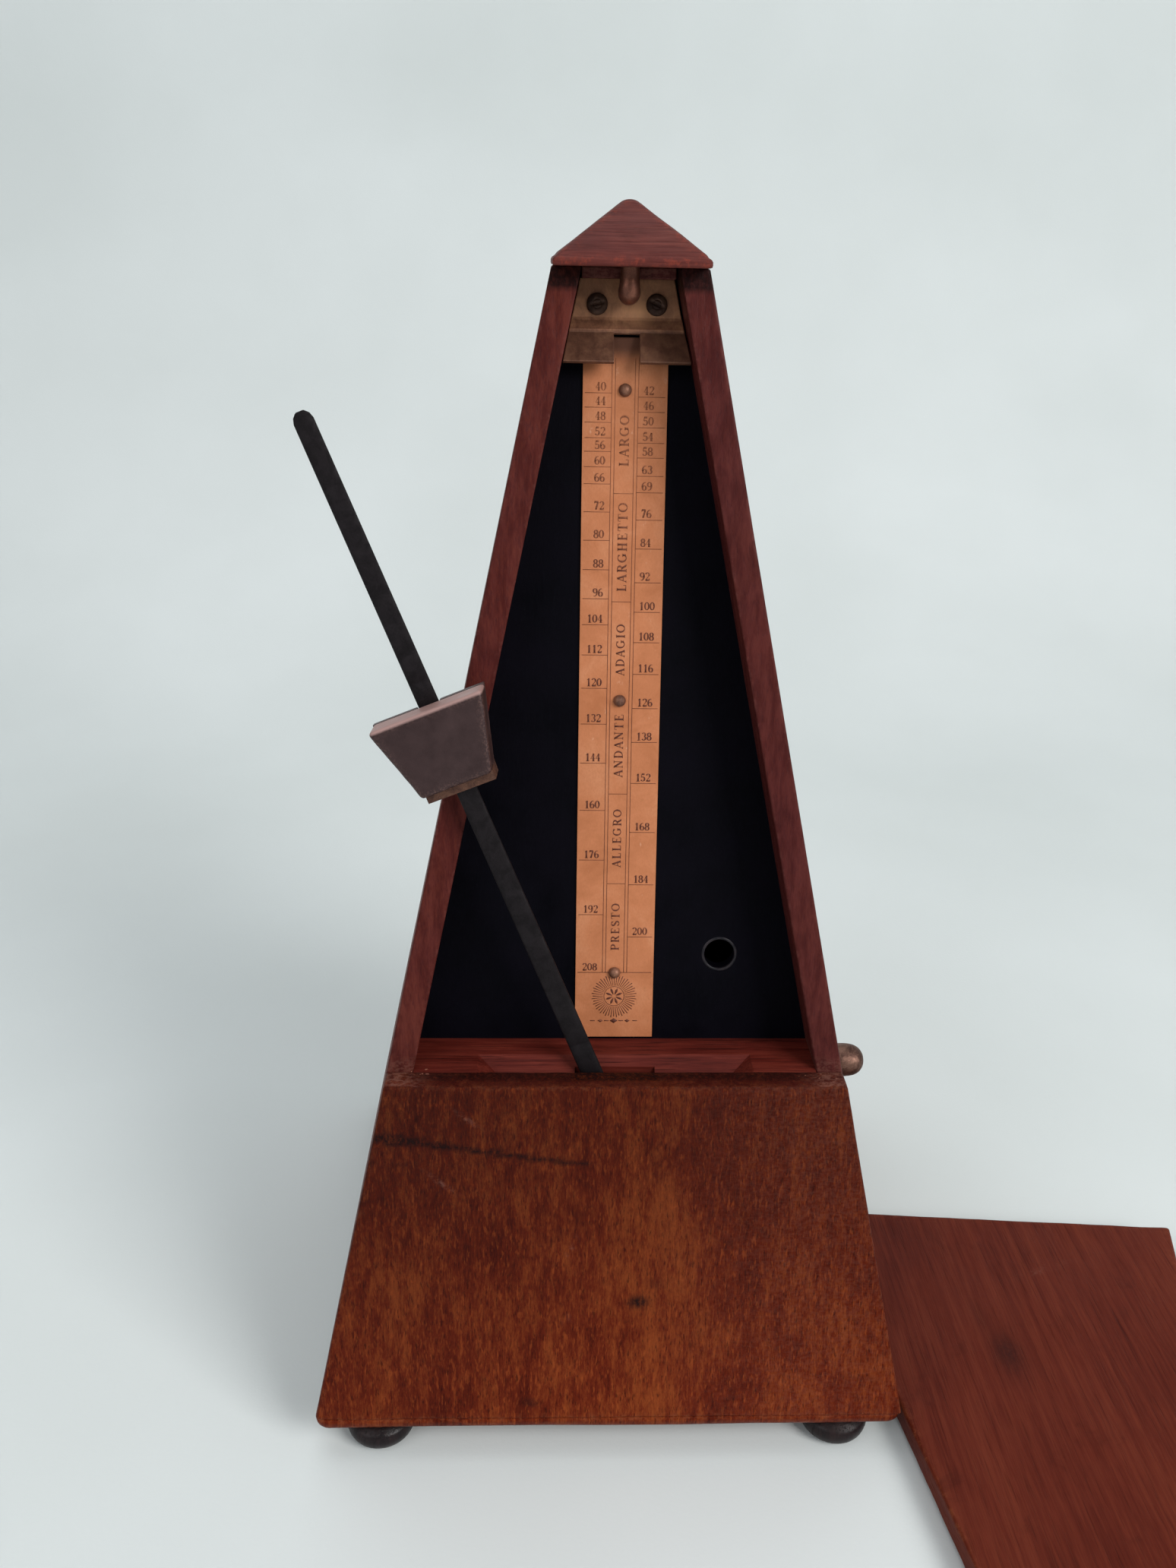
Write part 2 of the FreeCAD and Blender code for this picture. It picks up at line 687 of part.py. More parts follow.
def build_great():
    leaves = int(number("pinion_leaves"))
    teeth = int(number("great_teeth"))
    distance, aim = mesh_angles(GREAT, SECOND)
    module = 2 * distance / (teeth + leaves)
    thick = number("wheel_thick")
    low = number("great_x")
    bore = number("arbor_radius") + number("running_gap")
    wheel = toothed_disc(teeth, wheel_profile(module * teeth / 2, module), aim, low, thick, bore)
    rim = module * teeth / 2 - 3.2
    wheel = with_windows(wheel, number("ratchet_radius") + 5.4, rim, 6, 2.6, low, thick)
    hub = Part.makeCylinder(4.2, number("cam_x") - low, FreeCAD.Vector(low, 0, 0), X_AXIS)
    bored = Part.makeCylinder(bore, 20, FreeCAD.Vector(low - 5, 0, 0), X_AXIS)
    at_arbor(shape_node("great_wheel", wheel.fuse(hub).cut(bored)), *GREAT)
    # winding arbor: barrel stretch, left pivot, right journal and winding square
    middle = round_bar("arbor_barrel", "x", "arbor_radius", ("plate_thick - plate_left_x + 0.2", *GREAT),
                       "plate_left_x + plate_right_x - 2 * plate_thick - 0.4")
    pivot = round_bar("arbor_pivot", "x", "1.5", ("-plate_left_x", *GREAT), "plate_thick + 1")
    journal = round_bar("arbor_journal", "x", "winding_radius", ("plate_right_x - 3", *GREAT), "14")
    square = block("arbor_square", ("plate_right_x + 10", "winding_end"),
                   ("great_y - square_half", "great_y + square_half"),
                   ("great_z - square_half", "great_z + square_half"))
    node("winding_arbor", joined("winding_arbor_whole", middle, pivot, journal, square))
    build_ratchet()
    build_cam()
    build_spring()


def build_ratchet():
    count = int(number("ratchet_teeth"))
    radius = number("ratchet_radius")
    profile = ((radius - 1.1, 0.0), (radius, 0.85), (radius, 0.93))
    wheel = toothed_disc(count, profile, 0, number("ratchet_x"), 1.6, number("arbor_radius"))
    at_arbor(shape_node("ratchet_wheel", wheel), *GREAT)
    build_click(radius, 2 * math.pi / count)


def polar(radius, angle):
    return FreeCAD.Vector(0, radius * math.cos(angle), radius * math.sin(angle))


def build_click(radius, pitch):
    """A lever on the great wheel's face whose nose rests in a gap of the ratchet wheel."""
    start = 6 * pitch
    low_x = number("ratchet_x") + 0.1
    reach = number("great_x") - low_x
    outline_points = ((radius - 0.8, 0.02), (radius + 0.25, 0.17), (radius + 0.35, 0.5),
                      (radius + 1.2, 0.8), (radius + 4.0, 0.75), (radius + 2.2, 0.4),
                      (radius + 1.2, 0.05))
    edge = [polar(r, start + angle) for r, angle in outline_points]
    post = polar(number("click_post"), start + number("click_lead"))
    lever = Part.Face(Part.makePolygon(edge + edge[:1])).extrude(FreeCAD.Vector(1.4, 0, 0))
    lever = lever.fuse(Part.makeCylinder(1.9, 1.4, post, X_AXIS))
    bore = 0.9 + number("running_gap")
    lever = lever.cut(Part.makeCylinder(bore, 4, post - FreeCAD.Vector(1, 0, 0), X_AXIS))
    lever.translate(FreeCAD.Vector(low_x, 0, 0))
    at_arbor(shape_node("click", lever), *GREAT)
    head = Part.makeCylinder(1.6, 0.7, post + FreeCAD.Vector(-0.8, 0, 0), X_AXIS)
    pin = Part.makeCylinder(0.9, reach + 0.1, post + FreeCAD.Vector(-0.1, 0, 0), X_AXIS)
    screw = head.fuse(pin)
    screw.translate(FreeCAD.Vector(low_x, 0, 0))
    at_arbor(shape_node("click_screw", screw), *GREAT)
    # a thin blade on its own stud presses on the click's back
    stud = polar(radius + 4.2, start - 0.55)
    tip = polar(radius + 2.0, start + 0.2)
    across = (tip - stud).cross(X_AXIS).normalize() * 0.35
    strip = [stud, tip, tip + across, stud + across]
    blade = Part.Face(Part.makePolygon(strip + strip[:1])).extrude(FreeCAD.Vector(1.2, 0, 0))
    spring = blade.fuse(Part.makeCylinder(1.0, reach, stud, X_AXIS))
    spring.translate(FreeCAD.Vector(low_x, 0, 0))
    at_arbor(shape_node("click_spring", spring), *GREAT)


def build_cam():
    """Four-lobed bell cam beside the great wheel."""
    radius = number("cam_radius")
    profile = ((radius - 2.2, 0.0), (radius - 1.8, 0.35), (radius, 0.75), (radius, 0.92))
    cam = toothed_disc(4, profile, 0, number("cam_x"), 1.4, number("arbor_radius") + number("running_gap"))
    at_arbor(shape_node("bell_cam", cam), *GREAT)


def build_spring():
    """Open mainspring: one flat spiral strip."""
    inner = number("spring_inner")
    growth = (number("spring_outer") - inner) / number("spring_turns")
    thick = number("spring_thick")
    steps = 24
    count = int(number("spring_turns")) * steps
    inside = []
    outside = []
    for index in range(count + 1):
        angle = index * 2 * math.pi / steps
        radius = inner + growth * index / steps
        spoke = FreeCAD.Vector(0, math.cos(angle), math.sin(angle))
        inside.append(spoke * radius)
        outside.append(spoke * (radius + thick))
    loop = inside + outside[::-1] + inside[:1]
    width = number("spring_width")
    strip = Part.Face(Part.makePolygon(loop)).extrude(FreeCAD.Vector(width, 0, 0))
    strip.translate(FreeCAD.Vector(number("spring_low_x"), 0, 0))
    at_arbor(shape_node("mainspring", strip), *GREAT)


def pinion_on(distance_pair, turn, low_x, length, count):
    distance, teeth = distance_pair
    module = 2 * distance / (teeth + count)
    profile = leaf_profile(module * count / 2, module)
    blank = Part.Face(ring_of_teeth(count, profile, turn)).extrude(FreeCAD.Vector(length, 0, 0))
    blank.translate(FreeCAD.Vector(low_x, 0, 0))
    return blank


def build_second():
    leaves = int(number("pinion_leaves"))
    distance, aim = mesh_angles(GREAT, SECOND)
    facing = aim + math.pi + math.pi / leaves
    pinion = pinion_on((distance, number("great_teeth")), facing, number("great_x") - 1.2, 4.0, leaves)
    inner = number("plate_left_x") - number("plate_thick") - 0.2
    shaft = Part.makeCylinder(1.25, 2 * inner, FreeCAD.Vector(-inner, 0, 0), X_AXIS)
    ends = Part.makeCylinder(1.0, 2 * number("plate_left_x"), FreeCAD.Vector(-number("plate_left_x"), 0, 0),
                             X_AXIS)
    at_arbor(shape_node("second_arbor", pinion.fuse(shaft).fuse(ends)), *SECOND)
    teeth = int(number("second_teeth"))
    distance, aim = mesh_angles(SECOND, ESCAPE)
    module = 2 * distance / (teeth + leaves)
    low = number("second_x")
    thick = number("thin_wheel")
    wheel = toothed_disc(teeth, wheel_profile(module * teeth / 2, module), aim, low, thick, 1.25)
    wheel = with_windows(wheel, 4.0, module * teeth / 2 - 2.2, 5, 1.6, low, thick)
    at_arbor(shape_node("second_wheel", wheel), *SECOND)


def build_escape():
    leaves = int(number("pinion_leaves"))
    distance, aim = mesh_angles(SECOND, ESCAPE)
    facing = aim + math.pi + math.pi / leaves
    pinion = pinion_on((distance, number("second_teeth")), facing, number("second_x") - 1.2, 3.6, leaves)
    start = number("crown_x") + number("crown_depth") - 1.0
    end = number("plate_right_x") - number("plate_thick") - 0.2
    shaft = Part.makeCylinder(0.75, end - start, FreeCAD.Vector(start, 0, 0), X_AXIS)
    tip = Part.makeCylinder(0.6, number("plate_right_x") - start, FreeCAD.Vector(start, 0, 0), X_AXIS)
    at_arbor(shape_node("escape_arbor", pinion.fuse(shaft).fuse(tip)), *ESCAPE)
    # crown wheel: a ring with saw teeth on its left edge, on a spoked web
    radius = number("crown_radius")
    depth = number("crown_depth")
    low = number("crown_x")
    ring = Part.makeCylinder(radius, depth, FreeCAD.Vector(low, 0, 0), X_AXIS)
    ring = ring.cut(Part.makeCylinder(radius - 1.1, depth - 1.0, FreeCAD.Vector(low, 0, 0), X_AXIS))
    ring = ring.cut(Part.makeCylinder(0.75, depth, FreeCAD.Vector(low, 0, 0), X_AXIS))
    count = int(number("crown_teeth"))
    pitch = 2 * math.pi / count
    gap_depth = 1.7
    for index in range(count):
        middle = index * pitch
        chord = [FreeCAD.Vector(low - 0.1, radius * 0.99 * math.tan(-0.36 * pitch), radius + 1),
                 FreeCAD.Vector(low - 0.1, radius * 0.99 * math.tan(0.46 * pitch), radius + 1),
                 FreeCAD.Vector(low + gap_depth, radius * 0.99 * math.tan(0.40 * pitch), radius + 1)]
        gap = Part.Face(Part.makePolygon(chord + chord[:1])).extrude(FreeCAD.Vector(0, 0, -3.2))
        gap.rotate(FreeCAD.Vector(), X_AXIS, math.degrees(middle))
        ring = ring.cut(gap)
    ring = with_windows(ring, 2.0, radius - 1.8, 4, 1.2, low + depth - 1.0, 1.0)
    at_arbor(shape_node("crown_wheel", ring), *ESCAPE)


# ---------------------------------------------------------------- cocks and pendulum

def build_cocks():
    verge_bore = "verge_radius + running_gap"
    inner_left = "plate_thick - plate_left_x"
    inner_right = "plate_right_x - plate_thick"
    front = block("front_bar", (inner_left, inner_right), ("1.4 - plate_front", "3.0 - plate_front"),
                  ("pivot_z - 3.4", "pivot_z + 3.4"))
    front_bore = round_bar("front_bore", "y", verge_bore, ("0", "-plate_front", "pivot_z"), "6")
    node("verge_front_cock", cut("front_cock_bored", front, front_bore))
    rear = block("rear_bar", (inner_left, "3.0"), ("verge_back - 1.8", "verge_back - 0.2"),
                 ("pivot_z - 3.4", "pivot_z + 3.4"))
    rear_bore = round_bar("rear_bore", "y", verge_bore, ("0", "verge_back - 4", "pivot_z"), "6")
    node("verge_rear_cock", cut("rear_cock_bored", rear, rear_bore))
    web = block("cock_web", ("8.0", "9.4"), ("escape_y - 5", "escape_y + 5"),
                ("pivot_z - 3", "pivot_z + 6.2"))
    foot = block("cock_foot", ("8.0", inner_right), ("escape_y - 5", "escape_y + 4"),
                 ("pivot_z + 4.0", "pivot_z + 5.6"))
    bore = round_bar("cock_bore", "x", "0.75 + running_gap", ("5", "escape_y", "pivot_z"), "8")
    node("escape_cock", cut("escape_cock_bored", joined("escape_cock_bent", web, foot), bore))


def pendulum_frame(obj):
    """Carry a piece drawn upright about the pivot to the pendulum's tilted rest."""
    tilt = FreeCAD.Rotation(Y_AXIS, -number("rest_tilt"))
    return place(obj, z="pivot_z", rotation=tilt)


def build_verge():
    shaft = round_bar("verge_shaft", "y", "verge_radius", ("0", "-swing_y - rod_thick / 2 - 1.4", "0"),
                      "swing_y + rod_thick / 2 + 1.4 + verge_back")
    collar = round_bar("verge_collar", "y", "2.2", ("0", "-swing_y + rod_thick / 2", "0"), "3.0")
    parts = [shaft, collar]
    for name, shift, turn in (("front", "-crown_radius + 0.6", -40), ("rear", "crown_radius - 0.6", 40)):
        flag = block("pallet_" + name, ("0", "pallet_reach"), ("-1.5", "1.5"), ("-0.4", "0.4"))
        turned_flag = FreeCAD.Rotation(Y_AXIS, turn + number("rest_tilt"))
        place(flag, "0", "escape_y - 1.5 + " + shift, "0", rotation=turned_flag)
        bind(flag, Length="pallet_reach", Width="3", Height="0.8")
        parts.append(flag)
    node("verge_arbor", pendulum_frame(joined("verge_whole", *parts)))


def rod_solid():
    """Flat steel rod: straight past the pivot, then cranked back, with tempo notches."""
    half_wide = number("rod_width") / 2
    tip_half = number("rod_tip_width") / 2
    thick = number("rod_thick")
    crank = number("crank_height")
    lean = math.radians(number("rod_lean"))
    tail = number("rod_tail")
    low = Part.makeBox(2 * half_wide, thick, tail + crank, FreeCAD.Vector(-half_wide, -thick / 2, -tail))
    upper = number("rod_length") - crank
    corners = [(-half_wide, 0), (half_wide, 0), (tip_half, upper - 1.5), (tip_half - 1.2, upper),
               (1.2 - tip_half, upper), (-tip_half, upper - 1.5), (-half_wide, 0)]
    face = Part.Face(Part.makePolygon([FreeCAD.Vector(x, -thick / 2, z) for x, z in corners]))
    blade = face.extrude(FreeCAD.Vector(0, thick, 0))
    blade.rotate(FreeCAD.Vector(), X_AXIS, -math.degrees(lean))
    blade.translate(FreeCAD.Vector(0, 0, crank))
    rod = low.fuse(blade)
    rod = rod.cut(Part.makeCylinder(number("verge_radius"), 4, FreeCAD.Vector(0, -2, 0), Y_AXIS))
    return rod


def build_rod():
    rod = shape_node("pendulum_rod", rod_solid())
    rod.Placement = FreeCAD.Placement(FreeCAD.Vector(0, -number("swing_y"), number("pivot_z")),
                                      FreeCAD.Rotation(Y_AXIS, -number("rest_tilt")))


def build_bob():
    """Fixed counterweight at the rod's lower end, and the screw that clamps it."""
    front = "-swing_y - bob_thick / 2"
    disc = round_bar("bob_disc", "y", "bob_radius", ("0", front, "-bob_drop"), "bob_thick")
    slot = block("bob_slot", ("-rod_width / 2", "rod_width / 2"),
                 ("-swing_y - rod_thick / 2", "rod_thick / 2 - swing_y"), ("-rod_tail", "0"))

    def screw(name):
        shank = round_bar(name + "_shank", "y", "1.0", ("0", front, "-bob_drop"),
                          "bob_thick / 2 - rod_thick / 2")
        head = round_bar(name + "_head", "y", "2.0", ("0", front + " - 0.6", "-bob_drop"), "1.2")
        return joined(name, shank, head)

    node("counterweight", pendulum_frame(cut("bob_slotted", disc, slot, screw("bob_screw_hole"))))
    node("counterweight_screw", pendulum_frame(screw("bob_screw")))


def build_weight():
    """Sliding tempo weight with its brass back plate, square to the leaning rod."""
    height = number("weight_height")
    top = number("weight_top_half")
    low = number("weight_low_half")
    thick = number("weight_thick")
    sheet_thick = number("brass_sheet")
    gap = number("slide_gap")
    rod_half = number("rod_thick") / 2
    corners = [(-low, -height / 2), (low, -height / 2), (top, height / 2), (-top, height / 2),
               (-low, -height / 2)]
    face = Part.Face(Part.makePolygon([FreeCAD.Vector(x, -thick - rod_half, z) for x, z in corners]))
    solid = face.extrude(FreeCAD.Vector(0, thick + 2 * rod_half + gap, 0))
    channel = Part.makeBox(number("rod_width") + 2 * gap, 4, height + 2,
                           FreeCAD.Vector(-number("rod_width") / 2 - gap, -rod_half - gap, -height / 2 - 1))
    solid = solid.cut(channel)
    lip_height = 1.8
    plate_inset = 0.2
    bridge_wide = 2.2
    plate_low = -height / 2 - lip_height
    plate_high = 2.5
    flare = low + 0.5
    plate_corners = [(plate_inset - low, plate_low), (low - plate_inset, plate_low), (flare, plate_high),
                     (-flare, plate_high), (plate_inset - low, plate_low)]
    back = rod_half + gap
    plate = Part.Face(Part.makePolygon([FreeCAD.Vector(x, back, z) for x, z in plate_corners]))
    plate = plate.extrude(FreeCAD.Vector(0, sheet_thick, 0))
    lip_reach = thick * 0.55
    lip_start = FreeCAD.Vector(plate_inset - low, -lip_reach - back, plate_low)
    lip = Part.makeBox(2 * (low - plate_inset), lip_reach, lip_height, lip_start)
    bridges = []
    for edge in (plate_inset - low, low - plate_inset - bridge_wide):
        corner = FreeCAD.Vector(edge, -back, plate_low)
        bridges.append(Part.makeBox(bridge_wide, 2 * back, lip_height, corner))
    clip = plate.fuse(lip).fuse(bridges[0]).fuse(bridges[1])
    clip = clip.removeSplitter()
    crank = number("crank_height")
    lean = FreeCAD.Rotation(X_AXIS, -number("rod_lean"))
    along = lean.multVec(FreeCAD.Vector(0, 0, number("weight_centre") - crank))
    tilt = FreeCAD.Rotation(Y_AXIS, -number("rest_tilt"))
    spot = tilt.multVec(FreeCAD.Vector(0, 0, crank) + along)
    spot += FreeCAD.Vector(0, -number("swing_y"), number("pivot_z"))
    for name, shape in (("sliding_weight", solid), ("weight_clip", clip)):
        piece = shape_node(name, shape)
        piece.Placement = FreeCAD.Placement(spot, tilt.multiply(lean))


# ---------------------------------------------------------------- bell and selector

def build_bell():
    wall_thick = "1.0"
    profile = [("1.3", "bell_height - 1"), ("2.2", "bell_height - 1"),
               ("bell_radius * 0.62", "bell_height * 0.72"),
               ("bell_radius - 1.4", "bell_height * 0.36"), ("bell_radius - 1", "0"), ("bell_radius", "0"),
               ("bell_radius - 0.5", "bell_height * 0.44"), ("bell_radius * 0.68", "bell_height * 0.84"),
               ("1.3", "bell_height")]
    node("bell", place(turned("bell_dish", profile), "-bell_x", "bell_y", "bell_rim"))
    floor = "case_bottom + floor_thick"
    top = "(bell_rim + bell_height)"
    post = joined("bell_post_whole",
                  round_bar("bell_flange", "z", "3.4", ("-bell_x", "bell_y", floor), wall_thick),
                  round_bar("bell_stem", "z", "2.0", ("-bell_x", "bell_y", floor),
                            top + " - %s - (%s)" % (wall_thick, floor)),
                  round_bar("bell_neck", "z", "1.3", ("-bell_x", "bell_y", floor),
                            top + " + 0.6 - (%s)" % floor))
    node("bell_post", post)
    nut = round_bar("nut_disc", "z", "2.3", ("-bell_x", "bell_y", top), "1.6")
    core = round_bar("nut_core", "z", "1.3", ("-bell_x", "bell_y", top), "0.6")
    node("bell_nut", cut("bell_nut_bored", nut, core))


def build_hammer():
    """Bell hammer: an arbor across the frame with a lifting tail and a striking arm."""
    pivots = round_bar("hammer_pivots", "x", "1.0", ("-bell_x - 1.4", "hammer_y", "hammer_z"),
                       "bell_x + 1.4 + plate_right_x")
    shaft_start = ("plate_thick - plate_left_x + 0.2", "hammer_y", "hammer_z")
    shaft_long = "plate_left_x + plate_right_x - 2 * plate_thick - 0.4"
    inner = round_bar("hammer_shaft", "x", "1.4", shaft_start, shaft_long)
    head_y = "(bell_y + bell_radius + hammer_gap + hammer_head)"
    head_z = "(bell_rim + 3)"
    arm_shape = doc.addObject("Part::Wedge", "hammer_arm")
    bind(arm_shape, Xmin="-0.7", Xmax="0.7", Ymin="0", Ymax="hammer_z - (%s)" % head_z)
    bind(arm_shape, Zmin="-(%s) - 0.8" % head_y, Zmax="0.8 - (%s)" % head_y)
    bind(arm_shape, X2min="-0.7", X2max="0.7", Z2min="-hammer_y - 0.9", Z2max="0.9 - hammer_y")
    place(arm_shape, "-bell_x", "0", head_z, rotation=FreeCAD.Rotation(X_AXIS, 90))
    head = doc.addObject("Part::Sphere", "hammer_ball")
    bind(head, Radius="hammer_head")
    place(head, "-bell_x", head_y, head_z)
    tail = block("hammer_tail", ("cam_x", "cam_x + 1.4"), ("great_y + cam_radius + 0.6", "hammer_y"),
                 ("hammer_z - 1.0", "hammer_z + 1.0"))
    finger = block("hammer_finger", ("cam_x", "cam_x + 1.4"),
                   ("great_y + cam_radius + 0.6", "great_y + cam_radius + 2.4"),
                   ("great_z + 2", "hammer_z"))
    node("bell_hammer", joined("hammer_whole", pivots, inner, arm_shape, head, tail, finger))


def build_selector():
    bar = round_bar("selector_bar", "x", "selector_radius", ("selector_end", "selector_y", "selector_z"),
                    "knob_start + 2 - selector_end")
    collar = round_bar("selector_collar", "x", "2.4", ("selector_end", "selector_y", "selector_z"), "1.2")
    profile = [("selector_radius", "0"), ("knob_radius * 0.62", "0"), ("knob_radius * 0.62", "1.2"),
               ("knob_radius * 0.9", "1.8"), ("knob_radius", "3.0"),
               ("knob_radius * 0.95", "(knob_end - knob_start) * 0.68"),
               ("knob_radius * 0.72", "(knob_end - knob_start) * 0.88"),
               ("knob_radius * 0.35", "(knob_end - knob_start) * 0.98"),
               ("0", "knob_end - knob_start"), ("0", "2"), ("selector_radius", "2")]
    knob = turned("knob_turned", profile)
    place(knob, "knob_start", "selector_y", "selector_z", rotation=AXIS_TURNS["x"])
    node("selector_rod", joined("selector_rod_whole", bar, collar))
    node("selector_knob", knob)


def check_and_export():
    doc.recompute()
    for obj in doc.Objects:
        if "Invalid" in obj.State or "Error" in obj.State:
            raise RuntimeError("%s did not build: %s" % (obj.Name, obj.State))
    os.makedirs("parts", exist_ok=True)
    for name, obj in NODES.items():
        shape = obj.Shape
        if shape.isNull() or not shape.isValid() or not shape.Solids:
            raise RuntimeError("%s has no valid solid" % name)
        shape.exportStep("parts/%s.step" % name)
        box = shape.BoundBox
        print("%-20s solids %d volume %9.1f  x %7.2f %7.2f  y %7.2f %7.2f  z %7.2f %7.2f" % (
            name, len(shape.Solids), shape.Volume, box.XMin, box.XMax, box.YMin, box.YMax,
            box.ZMin, box.ZMax))


build_seats()
build_base()
build_feet()
build_case()
build_cap()
build_shelf()
build_scale()
build_latch()
build_door()
build_frame()
build_great()
build_second()
build_escape()
build_cocks()
build_verge()
build_rod()
build_bob()
build_weight()
build_bell()
build_hammer()
build_selector()
check_and_export()
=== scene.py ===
import json
import math

import bpy
from mathutils import Matrix, Vector, noise


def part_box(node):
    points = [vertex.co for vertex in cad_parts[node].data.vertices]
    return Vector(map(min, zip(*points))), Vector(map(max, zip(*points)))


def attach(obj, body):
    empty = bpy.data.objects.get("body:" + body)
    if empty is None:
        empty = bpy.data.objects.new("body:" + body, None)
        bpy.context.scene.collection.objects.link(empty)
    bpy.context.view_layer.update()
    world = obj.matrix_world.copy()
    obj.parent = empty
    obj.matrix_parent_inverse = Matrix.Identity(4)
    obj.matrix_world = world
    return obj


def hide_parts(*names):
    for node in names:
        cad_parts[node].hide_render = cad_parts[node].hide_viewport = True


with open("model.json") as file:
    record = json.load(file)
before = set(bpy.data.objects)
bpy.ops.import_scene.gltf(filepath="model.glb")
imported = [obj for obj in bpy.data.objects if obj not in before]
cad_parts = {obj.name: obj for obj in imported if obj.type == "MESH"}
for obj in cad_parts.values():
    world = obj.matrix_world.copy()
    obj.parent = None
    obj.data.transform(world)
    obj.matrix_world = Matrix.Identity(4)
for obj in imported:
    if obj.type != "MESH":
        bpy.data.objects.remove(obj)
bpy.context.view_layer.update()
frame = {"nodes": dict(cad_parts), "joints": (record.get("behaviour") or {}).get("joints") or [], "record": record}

# Lengths below are in millimetres in the row frame; MM turns them into metres.
MM = 0.001
JOINTS = {joint["name"]: joint for joint in frame["joints"]}


def box_mm(node):
    low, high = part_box(node)
    return low / MM, high / MM


BASE_LOW, BASE_HIGH = box_mm("base_board")
BACK_LOW, BACK_HIGH = box_mm("back_panel")
CAP_LOW, CAP_HIGH = box_mm("cap")
CASE_BOTTOM, CASE_TOP = BACK_LOW.z, BACK_HIGH.z
HALF_BASE, HALF_TOP = BASE_HIGH.x, CAP_HIGH.x
SHELF_TOP = box_mm("shelf")[1].z
WALL = 5.0
FACE_UP = Vector((0, HALF_BASE - HALF_TOP, CASE_TOP - CASE_BOTTOM)).normalized()  # up the leaning front
FACE_OUT = Vector((1, 0, 0)).cross(FACE_UP).normalized()


def half(z):
    """Half of the case's outer width at a height."""
    return HALF_BASE - (z - CASE_BOTTOM) * (HALF_BASE - HALF_TOP) / (CASE_TOP - CASE_BOTTOM)


def clamp(value):
    return max(0.0, min(1.0, value))


def round_angles(count):
    return [2 * math.pi * index / count for index in range(count)]


def place_in_scene(name, data):
    made = bpy.data.objects.new(name, data)
    bpy.context.scene.collection.objects.link(made)
    return made


# ---------------------------------------------------------------- materials

class Finish:
    """A node material being put together. Texture coordinates are millimetres in the row frame."""

    def __init__(self, name, **fixed):
        self.material = bpy.data.materials.new(name)
        self.material.use_nodes = True
        self.tree = self.material.node_tree
        self.shader = self.tree.nodes["Principled BSDF"]
        for key, value in fixed.items():
            self.shader.inputs[key.replace("_", " ")].default_value = value
        self.place = self.add("ShaderNodeTexCoord").outputs["Object"]

    def add(self, kind, inputs=(), **settings):
        node = self.tree.nodes.new(kind)
        for key, value in settings.items():
            setattr(node, key, value)
        for key, value in dict(inputs).items():
            if isinstance(value, bpy.types.NodeSocket):
                self.tree.links.new(value, node.inputs[key])
            else:
                node.inputs[key].default_value = value
        return node

    def coords(self, stretch=(1, 1, 1), turn=(0, 0, 0), shift=(0, 0, 0)):
        """Coordinates turned, then stretched so that a larger number means finer detail that way."""
        turned = self.add("ShaderNodeMapping", {"Vector": self.place, "Rotation": turn, "Location": shift})
        scale = [value / MM for value in stretch]
        return self.add("ShaderNodeMapping", {"Vector": turned.outputs[0], "Scale": scale}).outputs[0]

    def noise(self, vector, scale, detail=3, rough=0.55, distortion=0.0):
        node = self.add("ShaderNodeTexNoise", {"Vector": vector, "Scale": scale, "Detail": detail,
                                               "Roughness": rough, "Distortion": distortion})
        return node.outputs["Fac"]

    def span(self, value, low, high, start=0.0, end=1.0):
        node = self.add("ShaderNodeMapRange", {"Value": value, "From Min": low, "From Max": high,
                                               "To Min": start, "To Max": end})
        node.interpolation_type = "SMOOTHSTEP"
        return node.outputs["Result"]

    def math(self, operation, first, second=0.0):
        return self.add("ShaderNodeMath", {0: first, 1: second}, operation=operation).outputs[0]

    def ramp(self, value, *stops):
        node = self.add("ShaderNodeValToRGB", {"Fac": value})
        elements = node.color_ramp.elements
        while len(elements) < len(stops):
            elements.new(0.5)
        for element, (place, colour) in zip(elements, stops):
            element.position = place
            element.color = (*colour, 1)
        return node.outputs["Color"]

    def mix(self, amount, under, over, blend="MIX"):
        under, over = [(*c, 1) if isinstance(c, (tuple, list)) and len(c) == 3 else c for c in (under, over)]
        node = self.add("ShaderNodeMix", data_type="RGBA", blend_type=blend)
        for socket, value in ((node.inputs[0], amount), (node.inputs[6], under), (node.inputs[7], over)):
            if isinstance(value, bpy.types.NodeSocket):
                self.tree.links.new(value, socket)
            else:
                socket.default_value = value
        return node.outputs[2]

    def painted(self, name):
        """A value painted on the mesh, point by point."""
        return self.add("ShaderNodeAttribute", attribute_name=name).outputs["Fac"]

    def bump(self, height, depth, after=None):
        """Relief of a depth in millimetres."""
        inputs = {"Height": height, "Distance": depth * MM, "Strength": 1.0}
        if after is not None:
            inputs["Normal"] = after
        return self.add("ShaderNodeBump", inputs).outputs["Normal"]

    def done(self, **links):
        for key, value in links.items():
            self.tree.links.new(value, self.shader.inputs[key.replace("_", " ")])
        return self.material


